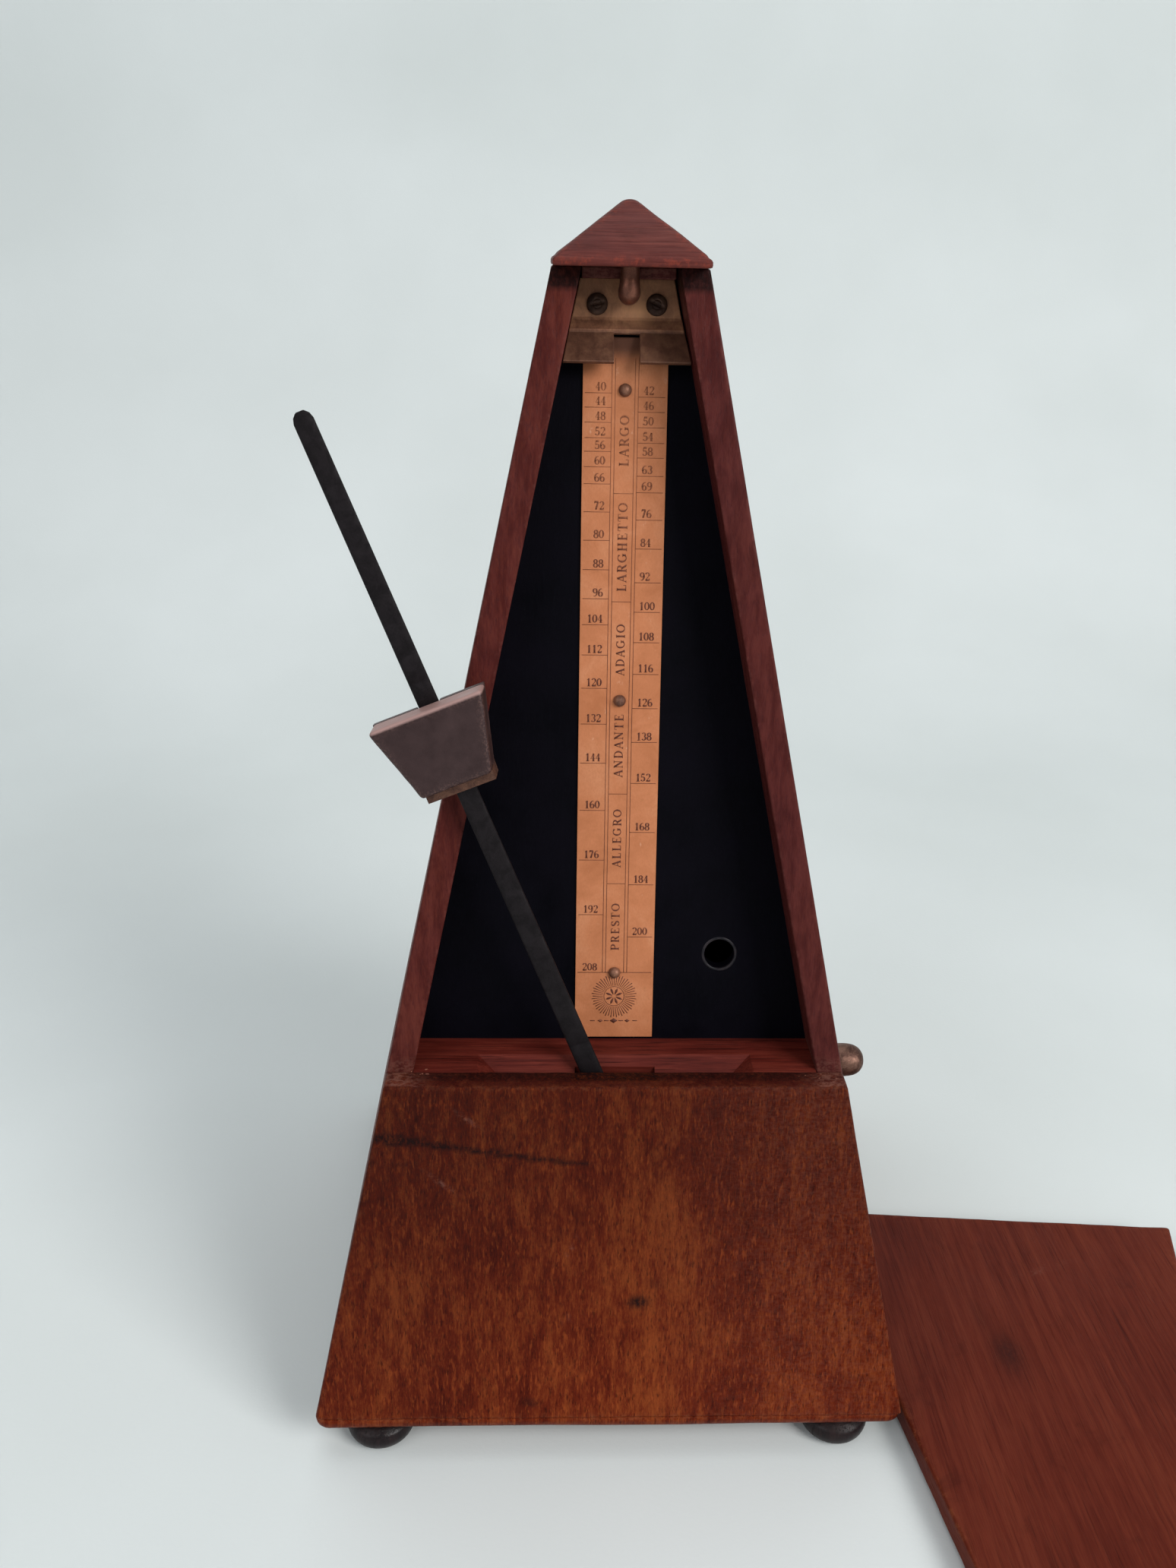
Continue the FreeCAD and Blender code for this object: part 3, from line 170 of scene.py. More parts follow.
def wood(name, dark, middle, light, turn=(0, 0, 0), fleck=1.0, gloss=0.40, worn=(0.22, 0.060, 0.024),
         shift=0.0, sheen=0.06, open_pores=0.62):
    """Old shellacked mahogany with its grain along Z before turning."""
    made = Finish(name, IOR=1.5, Specular_IOR_Level=sheen)
    off = (shift, shift * 0.7, shift * 1.3)
    broad = made.noise(made.coords((1, 1, 0.35), turn, off), 0.055, 3, 0.6, 0.6)
    ribbon = made.noise(made.coords((1, 1, 0.035), turn, off), 0.60, 4, 0.62, 0.25)
    fibre = made.noise(made.coords((1, 1, 0.030), turn, off), 3.0, 4, 0.7)
    cross = made.noise(made.coords((0.7, 0.7, 0.30), turn, off), 0.60, 4, 0.75, 1.0)
    tone = made.math("ADD", made.math("MULTIPLY", broad, 0.34), made.math("MULTIPLY", ribbon, 0.34))
    tone = made.math("ADD", tone, made.math("MULTIPLY", fibre, 0.30))
    tone = made.math("ADD", tone, made.math("MULTIPLY", cross, 0.06))
    colour = made.ramp(tone, (0.41, dark), (0.51, middle), (0.62, light))
    dash = made.noise(made.coords((1, 1, 0.07), turn, off), 1.9, 2, 0.6)
    lit = made.math("MULTIPLY", made.span(dash, 0.54, 0.70), 0.50 * fleck)
    colour = made.mix(lit, colour, tuple(min(1, c * 1.4) for c in light))
    pores = made.noise(made.coords((1, 1, 0.035), turn, (off[0] + 7e-3, off[1], off[2])), 2.8, 3, 0.55)
    pore = made.span(pores, 0.54, 0.72)
    colour = made.mix(made.math("MULTIPLY", pore, open_pores), colour, tuple(c * 0.30 for c in dark))
    blotch = made.noise(made.coords((1, 1, 0.8), turn, off), 0.09, 5, 0.7, 0.5)
    colour = made.mix(made.span(blotch, 0.56, 0.78, 0, 0.5), colour, tuple(c * 0.6 for c in dark))
    tint = made.mix(made.span(ribbon, 0.35, 0.65), (0.046, 0.0098, 0.0105), (0.074, 0.0175, 0.0180))
    colour = made.mix(made.math("MULTIPLY", made.painted("plum"), 0.85), colour, tint)
    edge = made.painted("edge")
    rubbed_and_highlight = made.math("MULTIPLY", edge, made.span(made.noise(made.coords(), 0.7, 4, 0.7), 0.46, 0.68))
    colour = made.mix(made.math("MULTIPLY", rubbed_and_highlight, 0.55), colour, worn)
    # Dark stains and scars, and painted shade where boards are marked for it (under the cap, on the ledge, towards
    # the top of the base's front).
    stain_and_shade = made.math("MULTIPLY", made.painted("stain_and_shade"),
                      made.span(made.noise(made.coords((1, 1, 0.6), turn), 1.6, 4, 0.75), 0.30, 0.60, 0.6, 1))
    colour = made.mix(stain_and_shade, colour, (0.010, 0.0032, 0.0030))
    # Pale scratches and chips, and painted light where boards are marked for it (the right of the base's front).
    pale = made.math("MULTIPLY", made.painted("scratch_and_light"),
                     made.span(made.noise(made.coords((0.5, 1, 1)), 1.9, 4, 0.75), 0.40, 0.62))
    colour = made.mix(pale, colour, (0.20, 0.085, 0.062))
    smear = made.noise(made.coords((1, 1, 0.5), turn, off), 0.12, 4, 0.6)
    rough = made.math("ADD", made.span(smear, 0.3, 0.7, gloss - 0.07, gloss + 0.13),
                      made.math("MULTIPLY", pore, 0.15))
    relief = made.bump(fibre, 0.035)
    relief = made.bump(made.math("SUBTRACT", 1.0, pore), 0.03, relief)
    relief = made.bump(made.noise(made.coords(), 0.25, 3), 0.05, relief)
    return made.done(Base_Color=colour, Roughness=rough, Normal=relief)


def metal(name, bright, dull, tarnish=0.5, rough=0.32, grain=(1, 1, 1), depth=0.012, metallic=1.0,
          sheen=0.5):
    """Metal with patches of tarnish, fine handling marks and a brushed grain."""
    made = Finish(name, Metallic=metallic, Specular_IOR_Level=sheen)
    patches = made.noise(made.coords(), 0.35, 5, 0.65, 0.7)
    spots = made.noise(made.coords((1, 1, 1), (0, 0, 0), (0.013, 0, 0)), 1.9, 4, 0.7)
    amount = made.span(made.math("ADD", patches, made.math("MULTIPLY", spots, 0.35)), 0.50, 0.86, 0, 1)
    amount = made.math("ADD", made.math("MULTIPLY", amount, 1 - tarnish * 0.5), tarnish * 0.5)
    brushed = made.noise(made.coords(grain), 6.0, 3, 0.6)
    colour = made.mix(amount, bright, dull)
    colour = made.mix(made.span(brushed, 0.35, 0.65, 0, 0.25), colour, dull, "MULTIPLY")
    shine = made.math("ADD", made.math("MULTIPLY", amount, 0.22), rough)
    shine = made.math("ADD", shine, made.span(brushed, 0.3, 0.7, -0.05, 0.06))
    relief = made.bump(brushed, depth)
    relief = made.bump(spots, 0.02, relief)
    return made.done(Base_Color=colour, Roughness=shine, Normal=relief)


def navy_board():
    made = Finish("dull_navy_board", Specular_IOR_Level=0.05)
    cloud = made.noise(made.coords(), 0.09, 4, 0.6)
    grain = made.noise(made.coords((1, 1, 0.05)), 1.6, 4, 0.7)
    dust = made.noise(made.coords((1, 1, 0.7)), 2.4, 5, 0.8)
    colour = made.ramp(cloud, (0.3, (0.0006, 0.0005, 0.0018)), (0.7, (0.0022, 0.0017, 0.0042)))
    colour = made.mix(made.span(grain, 0.45, 0.75, 0, 0.5), colour, (0.0018, 0.0018, 0.0042))
    colour = made.mix(made.span(dust, 0.66, 0.80, 0, 0.10), colour, (0.10, 0.10, 0.13))
    relief = made.bump(grain, 0.04, made.bump(dust, 0.02))
    return made.done(Base_Color=colour, Roughness=made.span(cloud, 0.3, 0.7, 0.50, 0.68), Normal=relief)


def paper():
    made = Finish("aged_card", Specular_IOR_Level=0.2)
    cloud = made.noise(made.coords(), 0.12, 5, 0.65, 0.5)
    fibres = made.noise(made.coords((1, 1, 0.5)), 3.5, 4, 0.7)
    colour = made.ramp(cloud, (0.30, (0.43, 0.150, 0.062)), (0.52, (0.52, 0.190, 0.084)),
                       (0.75, (0.58, 0.240, 0.118)))
    colour = made.mix(made.span(fibres, 0.35, 0.70, 0, 0.28), colour, (0.37, 0.125, 0.050))
    foxing = made.noise(made.coords((1, 1, 1), (0, 0, 0), (0.02, 0, 0)), 0.55, 3, 0.6)
    colour = made.mix(made.span(foxing, 0.64, 0.78, 0, 0.4), colour, (0.34, 0.13, 0.05))
    rubbed_and_highlight = made.noise(made.coords((1, 1, 0.45), (0, 0, 0), (0.05, 0, 0.03)), 0.75, 4, 0.7)
    colour = made.mix(made.span(rubbed_and_highlight, 0.64, 0.78, 0, 0.6), colour, (0.66, 0.40, 0.27))
    height = made.add("ShaderNodeSeparateXYZ", {"Vector": made.place}).outputs["Z"]
    shade_starts, shade_full = 198.5 * MM, 202.5 * MM
    shaded = made.span(height, shade_starts, shade_full, 0, 0.88)
    colour = made.mix(shaded, colour, (0.045, 0.016, 0.010))
    return made.done(Base_Color=colour, Roughness=made.span(cloud, 0.3, 0.7, 0.42, 0.62),
                     Normal=made.bump(fibres, 0.02))


def ink():
    made = Finish("faded_ink", Specular_IOR_Level=0.2)
    fade = made.noise(made.coords(), 0.9, 5, 0.75)
    colour = made.ramp(fade, (0.36, (0.080, 0.024, 0.017)), (0.56, (0.145, 0.045, 0.027)),
                       (0.74, (0.33, 0.115, 0.056)))
    height = made.add("ShaderNodeSeparateXYZ", {"Vector": made.place}).outputs["Z"]
    fade_starts, fade_full = 150 * MM, 198 * MM
    faint = made.span(height, fade_starts, fade_full, 0, 0.50)
    colour = made.mix(faint, colour, (0.40, 0.145, 0.065))
    return made.done(Base_Color=colour, Roughness=made.span(fade, 0.3, 0.7, 0.5, 0.7))


def lacquer():
    made = Finish("dark_lacquer", Metallic=0.15, Specular_IOR_Level=0.3)
    cloud = made.noise(made.coords(), 0.25, 5, 0.65)
    grit = made.noise(made.coords(), 2.8, 4, 0.7)
    colour = made.ramp(cloud, (0.3, (0.028, 0.013, 0.013)), (0.7, (0.048, 0.025, 0.025)))
    worn = made.math("MULTIPLY", made.painted("edge"), made.span(grit, 0.46, 0.66))
    colour = made.mix(made.math("MULTIPLY", worn, 0.45), colour, (0.22, 0.12, 0.10))
    colour = made.mix(made.span(grit, 0.62, 0.78, 0, 0.5), colour, (0.014, 0.008, 0.008))
    # Painted highlight: the weight's top face painted paler.
    colour = made.mix(made.painted("scratch_and_light"), colour, (0.44, 0.27, 0.245))
    relief = made.bump(grit, 0.025)
    return made.done(Base_Color=colour, Roughness=made.span(cloud, 0.3, 0.7, 0.38, 0.54), Normal=relief)


ALONG_X = (0, math.pi / 2, 0)
MAHOGANY = ((0.056, 0.0046, 0.0012), (0.112, 0.0128, 0.0030), (0.205, 0.041, 0.0090))
SIDE_TONES = ((0.050, 0.0052, 0.0020), (0.098, 0.0140, 0.0050), (0.165, 0.033, 0.0120))
MATERIALS = {
    "case_wood": wood("varnished_mahogany", *MAHOGANY),
    "side_wood": wood("varnished_side", *SIDE_TONES, shift=0.21, fleck=0.6, worn=(0.13, 0.040, 0.034),
                      open_pores=0.5),
    "cap_wood": wood("varnished_cap", (0.062, 0.0150, 0.0125), (0.098, 0.0245, 0.0210),
                     (0.138, 0.038, 0.030), turn=ALONG_X, fleck=0.5, worn=(0.26, 0.048, 0.028),
                     shift=0.4, open_pores=0.3),
    "shelf_wood": wood("oiled_shelf", (0.050, 0.0060, 0.0040), (0.098, 0.0130, 0.0085),
                       (0.150, 0.026, 0.016), turn=ALONG_X, fleck=0.5, gloss=0.5, shift=0.6, sheen=0.12),
    "door_wood": wood("varnished_door", (0.068, 0.0082, 0.0036), (0.098, 0.0140, 0.0062),
                      (0.130, 0.0225, 0.0100), turn=(math.pi / 2, 0, 0), fleck=0.35, shift=0.8, sheen=0.08,
                      open_pores=0.3),
    "foot_wood": wood("stained_foot", (0.004, 0.0025, 0.003), (0.010, 0.006, 0.007), (0.022, 0.012, 0.012),
                      fleck=0.3, gloss=0.34, worn=(0.05, 0.02, 0.018), shift=1.1, sheen=0.2),
    "board_navy": navy_board(),
    "card_paper": paper(),
    "aged_brass": metal("aged_brass", (0.36, 0.165, 0.095), (0.120, 0.051, 0.034), 0.6, 0.42, metallic=0.45),
    "movement_brass": metal("clean_brass", (0.75, 0.53, 0.24), (0.33, 0.20, 0.09), 0.25, 0.24),
    "bell_bronze": metal("turned_bronze", (0.68, 0.46, 0.22), (0.28, 0.16, 0.08), 0.3, 0.22, (0.3, 0.3, 3)),
    "blued_steel": metal("blued_steel", (0.110, 0.056, 0.036), (0.040, 0.020, 0.015), 0.4, 0.42,
                         metallic=0.3, sheen=0.2),
    "spring_steel": metal("spring_steel", (0.22, 0.23, 0.26), (0.08, 0.07, 0.07), 0.4, 0.30, (0.1, 3, 3)),
    "arbor_steel": metal("turned_steel", (0.52, 0.52, 0.53), (0.22, 0.20, 0.18), 0.3, 0.26, (3, 0.2, 0.2)),
    "rod_steel": metal("dark_rod", (0.014, 0.010, 0.012), (0.006, 0.004, 0.005), 0.5, 0.50,
                       (3, 3, 0.3), 0.02, metallic=0.2, sheen=0.2),
    "weight_paint": lacquer(),
}
CLIP_BRASS = metal("clip_brass", (0.20, 0.095, 0.060), (0.070, 0.032, 0.024), 0.6, 0.45,
                   metallic=0.45, sheen=0.3)
SLOT_OF = {part["node"]: part["material_slot"] for part in frame["record"]["subparts"]}
for node_name, cad_object in frame["nodes"].items():
    for index in range(len(cad_object.data.materials)):
        finish = CLIP_BRASS if node_name == "weight_clip" else MATERIALS[SLOT_OF[node_name]]
        cad_object.data.materials[index] = finish


# ---------------------------------------------------------------- shapes

def piece(name, points, faces, slot, body="case", stands_for=(), material=None, paint=()):
    """A mesh piece from points in millimetres that rides on a body."""
    mesh = bpy.data.meshes.new(name)
    mesh.from_pydata([Vector(p) * MM for p in points], [], faces)
    mesh.validate()
    for attribute, values in dict(paint).items():
        layer = mesh.attributes.new(attribute, "FLOAT", "POINT")
        layer.data.foreach_set("value", values)
    mesh.polygons.foreach_set("use_smooth", [True] * len(mesh.polygons))
    mesh.materials.append(material or MATERIALS[slot])
    made = place_in_scene(name, mesh)
    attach(made, body)
    if stands_for:
        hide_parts(*stands_for)
    return made


def steps(length, radius, pitch):
    """Lattice places along one edge: close together over the rounding, then evenly spaced."""
    inner = [radius * part for part in (0, 0.15, 0.4, 0.7, 1.0, 1.6)]
    inner = [value for value in inner if value < length / 2 - 0.01]
    low, high = inner[-1], length - inner[-1]
    count = max(1, round((high - low) / pitch))
    middle = [low + (high - low) * index / count for index in range(1, count)]
    return inner + middle + [length - value for value in reversed(inner)]


def blend_corners(corners, u, v, w):
    """A point of a straight-sided block given by its eight corners, X fastest."""
    total = Vector()
    for index, corner in enumerate(corners):
        share = (u if index & 1 else 1 - u) * (v if index & 2 else 1 - v) * (w if index & 4 else 1 - w)
        total += Vector(corner) * share
    return total


def plank_mesh(corners, radius, pitch, marks=None, uneven=0.35, wave=0.06, wear=0.9):
    """Points, faces and painted values of a board with soft, slightly worn edges."""
    sizes = [sum((Vector(corners[i | bit]) - Vector(corners[i])).length
                 for i in range(8) if not i & bit) / 4 for bit in (1, 2, 4)]
    rows = [steps(size, radius, pitch) for size in sizes]
    last = [len(row) - 1 for row in rows]
    points, edge, stain_and_shade, scratch_and_light, plum, index_of = [], [], [], [], [], {}

    def corner_point(key):
        if key in index_of:
            return index_of[key]
        flat = Vector([rows[axis][key[axis]] for axis in range(3)])
        away = sorted(min(flat[axis], sizes[axis] - flat[axis]) for axis in range(3))
        spot = blend_corners(corners, *[flat[axis] / sizes[axis] for axis in range(3)])
        worn = radius * (1 + uneven * noise.noise(spot * 0.16) + 0.5 * uneven * noise.noise(spot * 0.6))
        worn = max(0.2 * radius, min(worn, min(sizes) / 2))
        core = Vector([min(max(flat[axis], worn), sizes[axis] - worn) for axis in range(3)])
        out = flat - core
        if out.length > 1e-9:
            flat = core + out.normalized() * worn
        spot = blend_corners(corners, *[flat[axis] / sizes[axis] for axis in range(3)])
        inward = blend_corners(corners, 0.5, 0.5, 0.5) - spot
        drop = wave * (0.5 + 0.5 * noise.noise(spot * 0.05))
        spot += inward.normalized() * drop
        index_of[key] = len(points)
        points.append(spot)
        edge.append(math.exp(-(away[1] / wear) ** 2))
        dark, light, purple = marks(spot) if marks else (0.0, 0.0, 0.0)
        stain_and_shade.append(dark)
        scratch_and_light.append(light)
        plum.append(purple)
        return index_of[key]

    faces = []
    for axis in range(3):
        first, second = (axis + 1) % 3, (axis + 2) % 3
        for side in (0, last[axis]):
            for a in range(last[first]):
                for b in range(last[second]):
                    loop = []
                    for da, db in ((0, 0), (1, 0), (1, 1), (0, 1)):
                        key = [0, 0, 0]
                        key[axis], key[first], key[second] = side, a + da, b + db
                        loop.append(corner_point(tuple(key)))
                    faces.append(loop if side else loop[::-1])
    return points, faces, {"edge": edge, "stain_and_shade": stain_and_shade, "scratch_and_light": scratch_and_light, "plum": plum}


def join_meshes(*meshes):
    points, faces, paint = [], [], {}
    for more_points, more_faces, more_paint in meshes:
        faces += [[index + len(points) for index in face] for face in more_faces]
        points += more_points
        for key, values in more_paint.items():
            paint.setdefault(key, []).extend(values)
    return points, faces, paint


def plank(name, corners, radius, pitch, slot, body="case", stands_for=(), material=None, **rest):
    points, faces, paint = plank_mesh(corners, radius, pitch, **rest)
    return piece(name, points, faces, slot, body, stands_for, material, paint)


def slab(low_z, high_z, low, high):
    """Eight corners from one level rectangle (x0, x1, y0, y1) to another above it."""
    corners = []
    for z, (x0, x1, y0, y1) in ((low_z, low), (high_z, high)):
        corners += [(x0, y0, z), (x1, y0, z), (x0, y1, z), (x1, y1, z)]
    return corners


def rings(name, loops, slot, body="case", stands_for=(), material=None, close=True, paint=None):
    """A skin over closed loops of points, with its ends filled."""
    count = len(loops[0])
    points = [point for loop in loops for point in loop]
    faces = []
    for row in range(len(loops) - 1):
        for index in range(count):
            after = (index + 1) % count
            faces.append([row * count + index, row * count + after,
                          (row + 1) * count + after, (row + 1) * count + index])
    if close:
        faces.append(list(range(count))[::-1])
        faces.append([(len(loops) - 1) * count + index for index in range(count)])
    values = paint or {}
    return piece(name, points, faces, slot, body, stands_for, material, values)


def lathe(name, profile, centre, axis, slot, body="case", stands_for=(), material=None, sides=48, edge=()):
    """A turned piece from (radius, distance along the axis) points."""
    axis = Vector(axis).normalized()
    across = axis.orthogonal().normalized()
    other = axis.cross(across)
    loops = []
    for radius, along in profile:
        loops.append([Vector(centre) + axis * along
                      + (across * math.cos(a) + other * math.sin(a)) * max(radius, 0.01)
                      for a in round_angles(sides)])
    paint = {"edge": [value for value in (edge or [0.0] * len(profile)) for _ in range(sides)]}
    return rings(name, loops, slot, body, stands_for, material, paint=paint)


def curve_through(points, per_span=6):
    """A smooth run of points through the given ones (Catmull-Rom)."""
    points = [Vector(p) for p in points]
    padded = [points[0] * 2 - points[1], *points, points[-1] * 2 - points[-2]]
    run = []
    for index in range(1, len(padded) - 2):
        a, b, c, d = padded[index - 1:index + 3]
        for step in range(per_span):
            t = step / per_span
            run.append(0.5 * (2 * b + (c - a) * t + (2 * a - 5 * b + 4 * c - d) * t * t
                              + (3 * b - a - 3 * c + d) * t ** 3))
    return run + [points[-1]]


def smooth_profile(points, per_span=5):
    return [(max(p.x, 0.0), p.y) for p in curve_through([(r, h, 0) for r, h in points], per_span)]


# ---------------------------------------------------------------- wooden case

def bump_at(value, centre, width):
    return math.exp(-((value - centre) / width) ** 2)


def scar_marks(spot):
    """Marks on the front of the base: a dark diagonal scar, blotches and faint scratches, painted shade darkening
    the face towards its top and left, painted light paling its right, a dark line along its top edge, and painted
    shade on the ledge on top, black by the rod slot.
    """
    x, z = spot.x, spot.z
    behind = spot.y + half(z)
    # Painted shade on the ledge on top: darker towards the back and black in the middle by the rod slot; pale worn
    # chips near its ends.
    if z > SHELF_TOP - 0.5 and behind > 0.4:
        dark = 0.50 + 0.40 * clamp((behind - 1.6) / 1.2)
        if abs(x) < 8.2 and behind > 2.2:
            return 1.0, 0.0, 0.0
        ends = bump_at(abs(x), 40.0, 3.6) * 0.6
        return dark * (1 - 0.6 * ends), ends, 0.5
    if behind > 1.5:
        return 0.0, 0.0, 0.0
    # Painted shade: the front face darker towards its top and its left.
    dark = 0.50 * clamp((z - 14.0) / 52.0) + 0.17 * clamp((-x - 5.0) / 32.0)
    along = (x + 48.0) / 41.0
    if -0.05 < along < 1.05:
        line = 67.4 - 5.6 * along + 0.5 * noise.noise(Vector((x * 0.15, 0, 3.1)))
        wide = 1.15 - 0.35 * along
        dark = max(dark, 1.35 * bump_at(z, line, wide) * (1 - 0.30 * max(0, along)))
    dark = max(dark, 1.6 * bump_at(x, -41.5, 4.0) * bump_at(z, 66.6 - 0.12 * (x + 41.5), 1.5))
    dark = max(dark, 0.62 * bump_at(x, -20.0, 11.0) * bump_at(z, 63.6 - 0.10 * (x + 20.0), 2.2))
    dark = max(dark, 1.20 * bump_at(x, 4.8, 2.3) * bump_at(z, 33.8, 1.4))
    dark = max(dark, 0.45 * bump_at(x, 8.2, 2.6) * bump_at(z, 37.6, 2.2))
    dark = min(dark, 1.0)
    dark = max(dark, 0.80 * bump_at(x, -15.6, 1.5) * bump_at(z, 13.0, 0.9))
    dark = max(dark, 0.45 * bump_at(z, -0.46 * (x + 35.0) + 21.5, 0.45) * bump_at(x, -36.0, 8.0))
    dark = max(dark, 0.62 * bump_at(z, SHELF_TOP, 1.3))
    # Painted light: the front face paler towards its right. Then faint pale scratches.
    light = 0.12 * clamp((x - 5.0) / 30.0)
    for x0, z0, slope, wide in ((-27.3, 70.2, -0.7, 1.9), (-32.5, 58.0, -0.7, 2.3), (-8.0, 45.0, 2.2, 0.8),
                                (32.0, 41.5, 0.4, 0.9), (-8.8, 30.4, 0.9, 0.6)):
        light = max(light, 0.55 * bump_at(z, z0 + slope * (x - x0), 0.35) * bump_at(x, x0, wide))
    return dark, light, 0.0


def post_marks(spot):
    """The posts' purplish fronts: a near-black painted shadow right under the cap's overhang, and scuffed at their
    feet.
    """
    if spot.y > 1.5 - half(spot.z) + WALL and abs(spot.x) > half(spot.z) - 1.0:
        return 0.0, 0.0, 0.0
    # Painted shadow of the cap's overhang: near-black over the posts' top 3.6 mm.
    cap_shadow = 0.95 * clamp((spot.z - (CASE_TOP - 3.6)) / 0.5)
    return cap_shadow, 0.35 * bump_at(spot.z, SHELF_TOP + 0.6, 1.6), 0.95 if spot.x > 0 else 0.8


def build_case():
    low, high = half(CASE_BOTTOM), half(SHELF_TOP)
    plank("base_front", slab(CASE_BOTTOM, SHELF_TOP, (-low, low, -low, WALL - low),
                             (-high, high, -high, WALL - high)),
          0.55, 0.8, "case_wood", stands_for=("front_panel",), marks=scar_marks)
    top = HALF_TOP
    plank("case_back", slab(CASE_BOTTOM, CASE_TOP, (-low, low, low - WALL, low),
                            (-top, top, top - WALL, top)),
          0.9, 2.2, "case_wood", stands_for=("back_panel",))
    plank("case_left", slab(CASE_BOTTOM, CASE_TOP, (-low, WALL - low, WALL - low, low - WALL),
                            (-top, WALL - top, WALL - top, top - WALL)),
          0.45, 1.2, "case_wood", stands_for=("left_side",), material=MATERIALS["side_wood"],
          marks=post_marks, wear=0.5)
    right = plank("case_right", slab(CASE_BOTTOM, CASE_TOP, (low - WALL, low, WALL - low, low - WALL),
                                     (top - WALL, top, WALL - top, top - WALL)),
                  0.45, 1.2, "case_wood", stands_for=("right_side",), material=MATERIALS["side_wood"],
                  marks=post_marks, wear=0.5)
    bush_low, bush_high = box_mm("winding_bush")
    stem_low, stem_high = box_mm("selector_rod")
    bore(right, (bush_low + bush_high) / 2, (bush_high.z - bush_low.z) / 2)
    stem = (stem_low + stem_high) / 2
    bore(right, ((bush_low.x + bush_high.x) / 2, stem.y, stem.z), (stem_high.z - stem_low.z) / 2 + 0.05)


def bore(board, centre, radius):
    """Drill a round hole along X."""
    drill = lathe("drill", [(radius, -12), (radius, 12)], centre, (1, 0, 0), "case_wood", sides=40)
    modifier = board.modifiers.new("bore", "BOOLEAN")
    modifier.object = drill
    modifier.operation = "DIFFERENCE"
    modifier.solver = "EXACT"
    depsgraph = bpy.context.evaluated_depsgraph_get()
    board.data = bpy.data.meshes.new_from_object(board.evaluated_get(depsgraph))
    board.modifiers.clear()
    bpy.data.objects.remove(drill)


def rounded_square(half_side, corner, z, per_corner=6, per_side=8):
    """A level square loop with rounded corners."""
    loop = []
    corner = min(corner, half_side * 0.98)
    straight = half_side - corner
    for quarter in range(4):
        start = quarter * math.pi / 2
        for index in range(per_corner + 1):
            angle = start + index * math.pi / 2 / per_corner
            centre = Vector((straight * (1, -1, -1, 1)[quarter], straight * (1, 1, -1, -1)[quarter], z))
            loop.append(centre + Vector((math.cos(angle), math.sin(angle), 0)) * corner)
        here, ahead = loop[-1], start + math.pi / 2
        centre = Vector((straight * (-1, -1, 1, 1)[quarter], straight * (1, -1, -1, 1)[quarter], z))
        target = centre + Vector((math.cos(ahead), math.sin(ahead), 0)) * corner
        for index in range(1, per_side):
            loop.append(here.lerp(target, index / per_side))
    return loop


def square_turned(name, levels, slot, stands_for, wave=0.0, **rest):
    """A square-plan piece from (half side, height, corner radius, wear) levels."""
    loops, edge = [], []
    for half_side, z, corner, wear in levels:
        loop = rounded_square(half_side, corner, z)
        for point in loop:
            away = wave * noise.noise(Vector((point.x * 0.12, point.y * 0.12, point.z * 0.12)))
            point.x *= 1 + away / max(half_side, 1)
            point.y *= 1 + away / max(half_side, 1)
            ridge = abs(abs(point.x) - abs(point.y)) / 1.6
            edge.append(max(wear, 0.8 * math.exp(-ridge * ridge)))
        loops.append(loop)
    return rings(name, loops, slot, stands_for=stands_for, paint={"edge": edge}, **rest)


def build_cap():
    side, rim, apex = HALF_TOP, CAP_LOW.z + 1.3, CAP_HIGH.z
    sharp = apex + 0.7
    slope = side / (sharp - rim)
    pitch = math.atan(1 / slope)
    tip = (sharp - apex) / (1 / math.cos(pitch) - 1)
    levels = [(side - 0.5, CAP_LOW.z, 0.5, 0.3), (side - 0.1, CAP_LOW.z + 0.12, 0.6, 0.7),
              (side, CAP_LOW.z + 0.45, 0.7, 1.0), (side, rim - 0.35, 0.8, 1.0), (side - 0.2, rim, 0.9, 0.9),
              (side - 0.65, rim + 0.3, 0.9, 0.5)]
    end = apex - tip + tip * math.cos(pitch)
    for step in range(1, 19):
        z = rim + 0.3 + (end - 0.1 - rim - 0.3) * step / 18
        levels.append(((sharp - z) * slope, z, 0.8, 0.0))
    for step in range(8):
        angle = pitch * (1 - step / 7.08)
        reach = tip * math.sin(angle)
        levels.append((reach, apex - tip + tip * math.cos(angle), reach * 0.6, 0.3))
    square_turned("pyramid_cap", levels, "cap_wood", ("cap",), wave=0.25)
    reach = half(CASE_TOP) - WALL - 0.1
    rail = slab(CASE_TOP - 1.95, CASE_TOP - 0.05, (-reach, reach, -3.4, 1.2), (-reach, reach, -3.4, 1.2))
    plank("cap_rail", rail, 0.3, 0.9, "case_wood", material=MATERIALS["side_wood"], wear=0.1,
          marks=lambda spot: (0.0, 0.35, 1.0))


